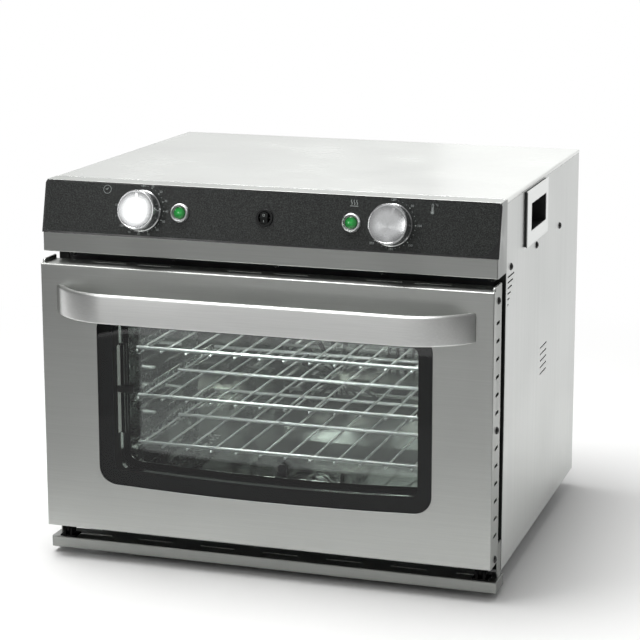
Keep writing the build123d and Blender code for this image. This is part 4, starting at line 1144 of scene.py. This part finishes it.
@dataclass
class Casing(Assembly):
    """Stainless casing: top, sides, back, base, ledge, grips and their fixings."""

    looks: ClassVar[dict[Finish, str]] = {
        LIT_TOP_SHEET: "top_cover",
        LIT_SIDE_SHEET: "side_panel_left side_panel_right",
        LIT_GRIP_SHEET: "grip_plate_left grip_plate_right",
        SHADED_FASCIA_SHEET: "fascia",
        SHADED_LEDGE_SHEET: "front_ledge",
        # painted shade: the front frame is dressed black as the shade between door and casing
        BLACK_ENAMEL_AND_SHADE: "front_frame",
        ZINC_SHEET: "back_panel base_pan control_shelf",
        BLACK_PLASTIC: "grip_cup_left grip_cup_right cord_gland",
        RUBBER: "rubber_feet",
        SHADED_HINGE_STEEL: "hinge_brackets hinge_pins",
        WHITE_PLASTIC: "terminal_block",
    }
    screws: ScrewHeads
    half_width: float = 300.0
    screw_ys: Triple = (24.0, 173.0, 322.0)
    screw_z: float = 412.0

    def pieces(self) -> list[Piece]:
        """Three dark screws along each side, in place of the plain ones."""
        spots = [(y, self.screw_z) for y in self.screw_ys]
        return [fit("side_panel_screws", self.screws.both_sides(
            BLUED_STEEL, self.half_width, spots), BLUED_STEEL, "cabinet", "black_screw",
            "side_screws")]


@dataclass(frozen=True)
class Dial:
    """A knob's printed scale."""

    x: float
    up: float
    dots: int
    step: float  # degrees from dot to dot
    every: int  # dots from one large dot to the next
    numbers: range
    turn: float  # degrees that the knob turns for 1 on its scale


TIMER_DIAL = Dial(-KNOB_X, 2.0, 21, 11.5, 2, range(10, 121, 10), 2.3)
HEAT_DIAL = Dial(KNOB_X, 1.0, 24, 11.25, 4, range(50, 251, 50), 0.9)

# Half sections of the turned parts: radius and height out of the panel
KNOB_SECTION = ((0.0, 0.6), (26.3, 0.6), (26.5, 0.9), (26.5, 3.2), (26.2, 3.6), (25.4, 4.6),
                (25.1, 20.6), (24.9, 21.2), (24.4, 21.8), (23.8, 22.0), (23.2, 21.95),
                (22.7, 21.6), (22.3, 21.45), (12.0, 21.38), (0.0, 21.35))
RING_SECTION = ((0.0, -26.0), (6.9, -26.0), (6.9, 0.0), (11.4, 0.0), (11.9, 0.5), (12.0, 2.0),
                (11.7, 3.6), (11.1, 4.8), (10.3, 5.4), (9.8, 5.45), (9.45, 5.1), (9.3, 4.4),
                (9.3, 1.2), (0.0, 1.2))
LENS_SECTION = ((0.0, 1.25), (8.3, 1.25), (8.2, 3.0), (7.9, 3.6), (6.8, 4.3), (4.6, 5.1),
                (2.2, 5.6), (0.0, 5.75))


@dataclass
class ControlPanel(Assembly):
    """Sloped panel: film, dials, knobs, lamps and the rocker switch."""

    looks: ClassVar[dict[Finish, str]] = {
        PANEL_EDGE: "control_overlay",
        WHITE_PLASTIC: "timer_body thermostat_body",
        CHROME: "timer_shaft thermostat_shaft",
        SWITCH_BLACK: "switch_bezel switch_rocker",
    }
    screws: ScrewHeads
    dots: DialDots
    film_half: float = 298.5
    film_low: float = -31.6
    film_high: float = 32.4
    film_corners: tuple[float, ...] = (9.0, 6.0, 6.0, 24.0)
    film_depth: float = 0.06
    film_out: float = 0.09
    holes: tuple[Pair, ...] = ((-LAMP_X, 8.0), (LAMP_X, 8.0), (-KNOB_X, 6.0), (KNOB_X, 6.0),
                               (0.0, 10.6))  # middle and radius
    print_out: float = 0.2
    print_depth: float = 0.03
    dial_radius: float = 29.6
    number_radius: float = 33.6
    number_height: float = 2.8
    number_high: float = 31.4  # where the film ends for the numbers
    number_low: float = 29.5
    font_share: float = 1.42  # size of the lettering for 1 of its height
    big_dot: float = 0.8
    small_dot: float = 0.46
    heat_turn: float = 19.0  # degrees: the thermostat's pointer stands a little past OFF
    dent: Triple = (1.5, 17.6, 20.4)  # half width, tip and base of the pointer dent
    dent_heights: Pair = (20.7, 22.4)
    clock_sign: Pair = (-214.3, 25.0)
    meter_sign: Pair = (214.5, 22.4)
    degree_sign: Pair = (219.6, 27.6)
    heat_sign: Pair = (115.0, 25.4)
    rocker_tip: float = 7.0  # degrees that its face stands off the panel's slope
    rocker_axis: float = -1.0
    rocker_face: float = 5.35
    rocker_mark: float = 3.6  # from its middle to either mark
    screw_xs: tuple[float, ...] = (-260.0, -122.0, 16.0, 154.0, 292.0)
    screw_seat: Pair = (-38.4, 409.0)
    screw_height: float = 4.2

    def pieces(self) -> list[Piece]:
        """Film, print, knobs, lamps and the screws under the fascia.

        Returns:
            The pieces.
        """
        made = [self.film(), self.print_marks(),
                self.knob("timer", -KNOB_X, 0.0, LEFT_KNOB),
                self.knob("thermostat", KNOB_X, self.heat_turn, RIGHT_KNOB),
                *self.lamp("power", -LAMP_X, LEFT_LENS), *self.lamp("heat", LAMP_X, RIGHT_LENS),
                self.rocker_marks()]
        hung = self.screws.heads(BLACK_OXIDE, [at(x, *self.screw_seat) for x in self.screw_xs],
                                 (0.0, 0.0, -1.0), height=self.screw_height)
        return made + [fit("fascia_dome_screws", hung, BLACK_OXIDE, "cabinet", "black_screw",
                           "fascia_screws")]

    def film(self) -> Piece:
        """Stippled film inside a gloss edge, with holes round the controls.

        Returns:
            The piece.
        """
        outline = []
        corners = ((1, 1, 0), (-1, 1, 90), (-1, -1, 180), (1, -1, 270))
        for (cx, cy, start), reach in zip(corners, self.film_corners):
            x = cx * (self.film_half - reach)
            y = (self.film_high if cy > 0 else self.film_low) - cy * reach
            turns = [math.radians(start + 9 * k) for k in range(11)]
            outline += [(x + reach * math.cos(t), y + reach * math.sin(t)) for t in turns]
        turns = [math.pi * k / 20 for k in range(40)]
        rings = [[(x + r * math.cos(t), r * math.sin(t)) for t in turns] for x, r in self.holes]
        curve = bpy.data.curves.new("film", "CURVE")
        curve.dimensions, curve.fill_mode = "2D", "BOTH"
        curve.extrude = self.film_depth * MM
        for loop in [outline, *rings]:
            spline = curve.splines.new("POLY")
            spline.points.add(len(loop) - 1)
            for point, (x, y) in zip(spline.points, loop):
                point.co = (x * MM, y * MM, 0.0, 1.0)
            spline.use_cyclic_u = True
        mesh = evaluated_mesh(put("film_holder", curve))
        mesh.transform(panel_place(0.0, out=self.film_out))
        return fit("control_film", mesh, CONTROL_FILM, "cabinet", "black_panel")

    def label(self, words: str, height: float, place: Matrix) -> Mesh:
        """Flat word or number, centred on its place.

        Args:
            words: what it says.
            height: height of a capital in millimetres.
            place: where it stands.

        Returns:
            The mesh.
        """
        curve = bpy.data.curves.new("label", "FONT")
        curve.body = words
        curve.size = height * self.font_share * MM
        curve.align_x, curve.align_y = "CENTER", "CENTER"
        curve.extrude = self.print_depth * MM
        curve.resolution_u = 3
        mesh = evaluated_mesh(put("label_holder", curve))
        mesh.transform(place)
        return mesh

    def stroke(self, points: Sequence[Pair], width: float, place: Matrix,
               closed: bool = False) -> Mesh:
        """Flat line of a set width.

        Args:
            points: points that it runs through, in millimetres.
            width: its width in millimetres.
            place: where it stands.
            closed: whether its end joins its start.

        Returns:
            The mesh.
        """
        count = len(points)
        corners, faces = [], []
        for i, (x, y) in enumerate(points):
            before = points[i - 1] if i or closed else points[i]
            after = points[(i + 1) % count] if i < count - 1 or closed else points[i]
            along = Vector((after[0] - before[0], after[1] - before[1], 0)).normalized()
            side = Vector((-along.y, along.x, 0)) * width / 2
            for out in (self.print_depth, -self.print_depth):
                corners += [(Vector((x, y, out)) + side) * MM, (Vector((x, y, out)) - side) * MM]
        for i in range(count if closed else count - 1):
            a, b = 4 * i, 4 * ((i + 1) % count)
            faces += [(a, b, b + 1, a + 1), (a + 2, a + 3, b + 3, b + 2),
                      (a, a + 2, b + 2, b), (a + 1, b + 1, b + 3, a + 3)]
        if not closed:
            end = 4 * (count - 1)
            faces += [(0, 1, 3, 2), (end, end + 2, end + 3, end + 1)]
        mesh = mesh_from(corners, faces)
        mesh.transform(place)
        return mesh

    @staticmethod
    def ring(radius: float, turns: Pair = (0, 360), centre: Pair = (0, 0),
             steps: int = 28) -> list[Pair]:
        """Points on an arc, clockwise from the top, in millimetres.

        Args:
            radius: radius of the arc.
            turns: where it starts and ends, in degrees.
            centre: its middle.
            steps: parts that it is cut into.

        Returns:
            The points.
        """
        start, end = turns
        angles = [math.radians(start + (end - start) * k / steps)
                  for k in range(steps if end - start >= 360 else steps + 1)]
        return [(centre[0] + radius * math.sin(a), centre[1] + radius * math.cos(a))
                for a in angles]

    def scale(self, dial: Dial) -> list[Mesh]:
        """Dots and numbers round a knob; a number that would leave the film moves inwards.

        Args:
            dial: the knob's scale.

        Returns:
            The meshes.
        """
        dots = self.dots.run(INK, Count=dial.dots, Start=0.0, Step=math.radians(dial.step),
                             Radius=self.dial_radius * MM, Dot=self.big_dot * MM,
                             Small=self.small_dot * MM, Every=dial.every)
        dots.transform(panel_place(dial.x, dial.up, self.print_out))
        made = [dots]
        for word, turn in [("OFF", 0.0)] + [(str(n), dial.turn * n) for n in dial.numbers]:
            aside, ahead = math.sin(math.radians(turn)), math.cos(math.radians(turn))
            reach = self.number_radius + (1.0 if len(word) > 2 else 0.0)
            if ahead > 0.1:
                reach = min(reach, (self.number_high - dial.up) / ahead)
            elif ahead < -0.1:
                reach = min(reach, (self.number_low + dial.up) / -ahead)
            spot = panel_place(dial.x + reach * aside, dial.up + reach * ahead, self.print_out)
            made.append(self.label(word, self.number_height, spot))
        return made

    def print_marks(self) -> Piece:
        """Scales and signs printed on the film.

        Returns:
            The piece.
        """
        clock, meter, degree, heat = (panel_place(*spot, self.print_out) for spot in (
            self.clock_sign, self.meter_sign, self.degree_sign, self.heat_sign))
        tube = self.ring(1.9, (30, 330), (0, -4.2)) + self.ring(0.95, (-90, 90), (0, 5.0), 8)
        marks = [
            *self.scale(TIMER_DIAL), *self.scale(HEAT_DIAL),
            self.stroke(self.ring(5.2), 0.55, clock, closed=True),
            self.stroke([(0.9, 2.0), (0.0, 0.0), (-2.4, 0.3)], 0.9, clock),
            self.stroke(tube, 0.5, meter, closed=True),
            self.stroke(self.ring(0.65, (0, 360), (0, -4.2), 12), 1.2, meter, closed=True),
            self.stroke([(0.0, -3.6), (0.0, 2.0)], 0.8, meter),
            self.label("°C", 2.4, degree),
            *(self.stroke([(x + 0.7 * math.sin(k * math.pi / 4), -3.2 + 0.8 * k)
                           for k in range(9)], 0.8, heat) for x in (-3.4, 0.0, 3.4)),
            self.stroke([(-5.2, -4.6), (5.2, -4.6)], 0.8, heat)]
        return fit("panel_print", merged(marks), INK, "cabinet", "white_plastic")

    def knob(self, name: str, middle: float, turn: float, finish: SpunAluminium) -> Piece:
        """Turned knob with a thin bright rim, a dished face and a pointer dent.

        Args:
            name: name of its control.
            middle: how far right it sits.
            turn: clockwise turn in degrees.
            finish: its finish.

        Returns:
            The piece.
        """
        blank = put(name + "_knob_blank", lathe(KNOB_SECTION, 128))
        half, tip, base = self.dent
        cutter = put("dent_cutter", mesh_from(
            [Vector((x, y, z)) * MM for z in self.dent_heights
             for x, y in ((-half, base), (half, base), (0, tip))],
            [(0, 1, 2), (5, 4, 3), (0, 3, 4, 1), (1, 4, 5, 2), (2, 5, 3, 0)]))
        cut = blank.modifiers.new("pointer", "BOOLEAN")
        cut.object, cut.operation = cutter, "DIFFERENCE"
        mesh = evaluated_mesh(blank)
        bpy.data.objects.remove(cutter)
        sharpen(mesh, 30)
        mesh.transform(panel_place(middle, turn=turn))
        return fit(name + "_dial_knob", mesh, finish, name + "_dial", "spun_aluminium",
                   name + "_knob")

    def lamp(self, name: str, x: float, lens_finish: TintedLens) -> list[Piece]:
        """Pilot lamp: a plated bezel with a rolled rim, and a crowned green lens.

        Args:
            name: what it shows.
            x: how far right it sits.
            lens_finish: finish of the lens.

        Returns:
            The bezel and the lens.
        """
        ring, lens = lathe(RING_SECTION), lathe(LENS_SECTION, 64)
        for mesh in (ring, lens):
            mesh.transform(panel_place(x))
        return [fit(name + "_lamp_ring", ring, LIT_LAMP_RING, "cabinet", "chrome_trim",
                    name + "_lamp_bezel"),
                fit(name + "_green_lens", lens, lens_finish, "cabinet", "green_lens",
                    name + "_lamp_lens")]

    def rocker_marks(self) -> Piece:
        """White ring above and stroke below on the rocker's face.

        Returns:
            The piece.
        """
        seat = panel_place(0.0, out=self.rocker_axis) @ Matrix.Rotation(
            math.radians(self.rocker_tip), 4, "X")
        high, low = (seat @ Matrix.Translation(Vector((0, up, self.rocker_face)) * MM)
                     for up in (self.rocker_mark, -self.rocker_mark))
        marks = [self.stroke(self.ring(1.3), 0.5, high, closed=True),
                 self.stroke([(0.0, -1.4), (0.0, 1.4)], 0.6, low)]
        return fit("rocker_print", merged(marks), INK, "rocker", "white_plastic")


@dataclass
class Door(Assembly):
    """Drop-down door: skin, two panes, black border, handle and fixings."""

    looks: ClassVar[dict[Finish, str]] = {
        DOOR_SHEET: "door_skin",
        PRINTED_GLASS: "outer_glass",
        COATED_GLASS: "inner_glass",
        CHAMBER_SHEET: "inner_panel glass_rails",
        BLACK_PLASTIC: "glass_clips",
        SHADED_HINGE_STEEL: "hinge_ears",
        CHROME: "handle_screws",
    }
    screws: ScrewHeads
    strip: BowedStrip
    handle_half: float = 277.0
    handle_front: float = -102.0
    handle_z: float = 350.0
    handle_height: float = 37.0
    door_front: float = -57.0
    end_angle: float = 55.0  # degrees between the handle's ends and the door
    bend: float = 100.0
    roll: float = 2.6
    thickness: float = 1.5
    lip: float = 8.0
    past: float = 12.0  # how far the swept strip runs into the door before it is trimmed
    seat_gap: float = 0.35  # between the trimmed ends and the door's front
    screw_x: float = 299.0
    screw_y: float = -35.0
    screw_zs: Triple = (51.9, 218.0, 381.1)
    print_gap: float = 0.06

    def pieces(self) -> list[Piece]:
        """Border, handle and the dark screws down both edges."""
        edge = self.screws.both_sides(BLUED_STEEL, self.screw_x, [
            (self.screw_y, z) for z in self.screw_zs])
        return [self.border(), self.handle(), fit(
            "door_edge_screws", edge, BLUED_STEEL, "door", "black_screw", "door_side_screws")]

    def border(self) -> Piece:
        """Printed border, its front a hair behind the pane so that the two never share a face.

        Returns:
            The piece.
        """
        mesh = merged([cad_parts["glass_border"].data.copy()])
        with editing(mesh) as shell:
            bmesh.ops.remove_doubles(shell, verts=shell.verts, dist=1e-6)
            front = min(corner.co.y for corner in shell.verts) + self.print_gap * MM
            for corner in shell.verts:
                corner.co.y = max(corner.co.y, front)
            bmesh.ops.recalc_face_normals(shell, faces=shell.faces)
        return fit("printed_border", mesh, GLAZE, "door", "black_glaze", "glass_border")

    def handle(self) -> Piece:
        """Bowed strip with rolled edges, trimmed where it meets the door.

        Returns:
            The piece.
        """
        slope = math.tan(math.radians(self.end_angle))
        bow = self.handle_half - (self.door_front - self.handle_front) / slope
        root, deep = self.handle_half + self.past / slope, self.door_front + self.past
        path = [at(x, y, self.handle_z) for x, y in (
            (-root, deep), (-bow, self.handle_front), (bow, self.handle_front), (root, deep))]
        mesh = self.strip.run(
            LIT_HANDLE_STRIP, path, [(0, 1), (1, 2), (2, 3)], Bend=self.bend * MM,
            Half_height=self.handle_height / 2 * MM, Roll=self.roll * MM,
            Thickness=self.thickness * MM, Return=self.lip * MM)
        with editing(mesh) as shell:
            bmesh.ops.remove_doubles(shell, verts=shell.verts, dist=1e-7)
            bmesh.ops.bisect_plane(
                shell, geom=shell.verts[:] + shell.edges[:] + shell.faces[:],
                plane_co=at(0, self.door_front - self.seat_gap, 0), plane_no=(0, 1, 0),
                clear_outer=True)
            bmesh.ops.holes_fill(shell, edges=[e for e in shell.edges if e.is_boundary],
                                 sides=0)
            bmesh.ops.recalc_face_normals(shell, faces=shell.faces)
        sharpen(mesh, 40)
        return fit("bowed_handle", mesh, LIT_HANDLE_STRIP, "door", "stainless", "handle")


@dataclass
class Chamber(Assembly):
    """Oven chamber: liner, racks, supports, baffle, fan and heater."""

    looks: ClassVar[dict[Finish, str]] = {
        CHAMBER_SHEET: "cavity_liner fan_baffle fan_wheel",
        SHADED_RUNNER_SHEET: "rack_support_left rack_support_right",
        WOOL: "insulation",
        DOOR_SEAL: "door_gasket",
        HOT_SHEATH: "ring_heater",
        BARE_COPPER: "thermostat_bulb",
        BLACK_ENAMEL_AND_SHADE: "fan_motor",
        CHROME: "fan_shaft",
    }
    racks: WireRack
    low: float = 139.5
    middle: float = 204.5
    high: float = 269.5
    half_width: float = 206.0
    front: float = 35.0
    back: float = 315.0
    drop: float = 3.8
    rod_radius: float = 2.6
    wire_radius: float = 1.5
    over: float = 3.65
    wires: int = 13

    def pieces(self) -> list[Piece]:
        """The three racks, each on its own body.

        Returns:
            The pieces.
        """
        made = []
        for name, level in (("low", self.low), ("middle", self.middle), ("high", self.high)):
            mesh = self.racks.run(
                PLATED_WIRE, Half_width=self.half_width * MM, Front=at(0, self.front, 0).y,
                Back=at(0, self.back, 0).y, Level=level * MM,
                Drop=self.drop * MM, Rod_radius=self.rod_radius * MM,
                Wire_radius=self.wire_radius * MM, Wires=self.wires, Over=self.over * MM)
            made.append(fit(name + "_wire_rack", mesh, PLATED_WIRE, name + "_rack",
                            "chromed_wire", "rack_" + name))
        return made


@dataclass
class Studio:
    """Plain pale floor, soft lamps, a white surround and the camera; sizes in metres."""

    floor_half: float = 60.0
    floor_fade: Pair = (0.55, 1.5)  # from the floor's own shade to the white surround
    lens: float = 111.886
    sensor: float = 36.0
    shift: float = -0.1
    camera_place: Triple = (0.83203, -2.51495, 0.90093)
    camera_turn: Triple = (78.8116, -0.2575, 16.5084)  # degrees
    shade: float = 0.36  # strength of the surround for plain light
    deep_shade: float = 0.25  # its strength where one mirror shows another
    foot: tuple[Pair, ...] = ((4.5, -2.35), (-0.1, -2.35), (-1.1, -0.95), (-1.7, -0.3),
                              (-4.0, 0.6))  # line that the cards in front of the oven stand on

    def build(self) -> None:
        """Set up the whole studio."""
        self.camera()
        self.surround()
        self.floor()
        for card in self.cards():
            self.mirror_card(*card)
        for lamp in (
                ("top_box", (-0.5, -0.2, 3.0), (0.0, 0.0, 0.2), (1.8, 1.8), 100.0),
                ("chamber_strip", (0.0, -0.172, 0.36), (0.0, 0.1, 0.1), (0.4, 0.03), 0.9),
                ("chamber_spot_left", (-0.08, -0.165, 0.358), (-0.08, 0.12, 0.1),
                 (0.05, 0.03), 0.8),
                ("chamber_spot_right", (0.185, -0.165, 0.358), (0.185, 0.12, 0.1),
                 (0.05, 0.03), 0.35)):
            self.lamp(*lamp)
        bpy.context.scene.view_settings.view_transform = "Standard"

    def camera(self) -> None:
        """Camera at the photograph's place and angle, taken for a square picture."""
        data = bpy.data.cameras.new("camera")
        data.lens, data.sensor_width, data.clip_end = self.lens, self.sensor, 200.0
        data.shift_x = data.shift_y = self.shift
        eye = put("camera", data)
        eye.location = self.camera_place
        eye.rotation_euler = [math.radians(a) for a in self.camera_turn]
        bpy.context.scene.camera = eye

    def surround(self) -> None:
        """World: white to the eye, to glass and to a first mirror look, softer elsewhere."""
        world = bpy.data.worlds.new("studio")
        bpy.context.scene.world = world
        world.use_nodes = True
        tree = world.node_tree
        tree.nodes.clear()
        ray = add_node(tree, "ShaderNodeLightPath").outputs
        first = add_node(tree, "ShaderNodeMath", {0: ray["Ray Depth"], 1: 1.5},
                         operation="LESS_THAN")
        mirrored = add_node(tree, "ShaderNodeMath", {0: ray["Is Glossy Ray"], 1: first},
                            operation="MULTIPLY")
        seen = add_node(tree, "ShaderNodeMath", {0: ray["Is Camera Ray"], 1: mirrored},
                        operation="MAXIMUM")
        clear = add_node(tree, "ShaderNodeMath", {0: seen, 1: ray["Is Transmission Ray"]},
                         operation="MAXIMUM")
        dim = add_node(tree, "ShaderNodeMapRange", {
            "Value": ray["Is Glossy Ray"], "To Min": self.shade, "To Max": self.deep_shade})
        soft, white = (add_node(tree, "ShaderNodeBackground", {
            "Color": linear(WHITE), "Strength": strength}) for strength in (dim, 1.0))
        both = add_node(tree, "ShaderNodeMixShader", {0: clear, 1: soft, 2: white})
        add_node(tree, "ShaderNodeOutputWorld", {"Surface": both})

    def floor(self) -> None:
        """Pale floor that fades to the white surround far from the oven."""
        half = self.floor_half
        piece, tree = self.sheet("floor", [(-half, -half, 0), (half, -half, 0), (half, half, 0),
                                           (-half, half, 0)])
        place = add_node(tree, "ShaderNodeTexCoord").outputs["Object"]
        away = add_node(tree, "ShaderNodeVectorMath", {0: place}, operation="LENGTH")
        fade = add_node(tree, "ShaderNodeMapRange", {
            "Value": away, "From Min": self.floor_fade[0], "From Max": self.floor_fade[1]},
            interpolation_type="SMOOTHSTEP")
        ray = add_node(tree, "ShaderNodeLightPath").outputs
        looked = add_node(tree, "ShaderNodeMath", {
            0: ray["Is Camera Ray"], 1: ray["Is Glossy Ray"]}, operation="MAXIMUM")
        share = add_node(tree, "ShaderNodeMath", {0: fade, 1: looked}, operation="MULTIPLY")
        paper = add_node(tree, "ShaderNodeBsdfPrincipled", {
            "Base Color": linear("F4F4F3"), "Roughness": 0.6, "Specular IOR Level": 0.2})
        white = add_node(tree, "ShaderNodeEmission", {"Color": linear(WHITE), "Strength": 1.0})
        both = add_node(tree, "ShaderNodeMixShader", {0: share, 1: paper, 2: white})
        add_node(tree, "ShaderNodeOutputMaterial", {"Surface": both})

    def cards(self) -> list[tuple[str, float, Points]]:
        """Patches that the metal mirrors, as the photograph's room does.

        Returns:
            Name, tone and corners of each.
        """
        fronts = [("dark_front_card_%d" % i, 0.12 if i else 0.3,
                   self.upright(self.foot[i], self.foot[i + 1], 0.0, 2.1)) for i in range(4)]
        return fronts + [
            ("grey_front_floor", 0.45, self.level(
                0.003, (0.0, -2.33), (0.75, -2.3), (0.75, -1.0), (-0.3, -0.95), (-1.25, -0.6),
                (-1.1, -0.93))),
            ("dim_far_floor", 0.06, self.level(
                0.0035, (0.75, -2.33), (0.75, -1.9), (-0.4, -1.9), (-0.08, -2.33))),
            ("bright_front_floor", 1.25, self.level(
                0.0035, (0.75, -1.88), (0.75, -1.42), (-0.75, -1.42), (-0.42, -1.88))),
            ("pale_front_floor", 0.54, self.level(
                0.003, (0.75, -1.0), (0.75, -0.6), (-0.3, -0.42), (-1.35, -0.1),
                (-1.25, -0.6), (-0.3, -0.95))),
            ("dark_right_floor", 0.1, self.level(
                0.004, (0.75, -2.3), (3.5, -2.3), (3.5, 0.6), (0.75, 0.0))),
            ("dark_right_card", 0.1, self.upright((3.5, -2.3), (3.5, 0.6), 0.0, 2.0)),
            ("back_card_left", 0.95, self.upright((-4.0, 4.0), (-0.9, 4.0), 0.6, 3.6)),
            ("back_card_right", 1.25, self.upright((-0.9, 4.0), (6.0, 4.0), 0.6, 3.6)),
            ("white_knob_card", 3.4, self.facing(
                (-0.619, -1.26, 0.774), (-0.165, -0.26, 0.475), 0.15)),
            ("grey_knob_card", 0.92, self.facing(
                (-0.21, -1.495, 0.82), (0.165, -0.26, 0.475), 0.2))]

    @staticmethod
    def level(height: float, *corners: Pair) -> list[Triple]:
        """Corners of a patch that lies at a height over the floor."""
        return [(x, y, height) for x, y in corners]

    @staticmethod
    def upright(start: Pair, end: Pair, low: float, high: float) -> list[Triple]:
        """Corners of a card that stands on a line, from one height to another."""
        return [(*start, low), (*end, low), (*end, high), (*start, high)]

    @staticmethod
    def facing(place: Triple, target: Triple, half: float) -> list[Vector]:
        """Corners of a square that faces a target.

        Args:
            place: middle of the square.
            target: point that it faces.
            half: half its side.

        Returns:
            The four corners in order.
        """
        turn = (Vector(target) - Vector(place)).to_track_quat("Z", "Y")
        around = [(-1, -1), (1, -1), (1, 1), (-1, 1)]
        return [Vector(place) + turn @ Vector((half * a, half * b, 0.0)) for a, b in around]

    @staticmethod
    def sheet(name: str, corners: Points) -> tuple[Piece, Tree]:
        """Flat sheet with a new, empty material.

        Args:
            name: name of the sheet and its material.
            corners: its corners in order round its edge.

        Returns:
            The sheet and its material's tree.
        """
        piece = put(name, mesh_from([Vector(c) for c in corners], [range(len(corners))]))
        made = bpy.data.materials.new("studio_" + name)
        made.use_nodes = True
        made.node_tree.nodes.clear()
        piece.data.materials.append(made)
        return piece, made.node_tree

    def mirror_card(self, name: str, tone: float, corners: Points) -> None:
        """Card that only metal and gloss can see, as a patch of a set tone.

        Args:
            name: name of the card.
            tone: brightness of the patch, 1 for white.
            corners: its corners in order round its edge.
        """
        piece, tree = self.sheet(name, corners)
        glow = add_node(tree, "ShaderNodeEmission", {"Color": linear(WHITE), "Strength": tone})
        add_node(tree, "ShaderNodeOutputMaterial", {"Surface": glow})
        for kind in ("camera", "diffuse", "shadow", "transmission", "volume_scatter"):
            setattr(piece, "visible_" + kind, False)

    def lamp(self, name: str, place: Triple, target: Triple, size: Pair, power: float) -> None:
        """Soft box that points at a target.

        Args:
            name: name of the lamp.
            place: where it hangs.
            target: point that it faces.
            size: its width and height.
            power: its power in watts.
        """
        data = bpy.data.lights.new(name, "AREA")
        data.shape = "RECTANGLE"
        data.size, data.size_y = size
        data.energy = power
        box = put(name, data)
        box.location = place
        box.rotation_euler = (Vector(target) - Vector(place)).to_track_quat("-Z", "Y").to_euler()
        box.visible_camera = False


def main() -> None:
    """Build the studio and every sub-assembly in order, and report each piece."""
    logging.basicConfig(level=logging.INFO, format="%(message)s")
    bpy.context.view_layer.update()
    Studio().build()
    screws = ScrewHeads()
    for part in (Casing(screws), ControlPanel(screws, DialDots()),
                 Door(screws, BowedStrip()), Chamber(WireRack())):
        for piece in part.build():
            log.info("%s: %s, %d faces", type(part).__name__, piece.name,
                     len(piece.data.polygons))


if __name__ == "__main__":
    main()
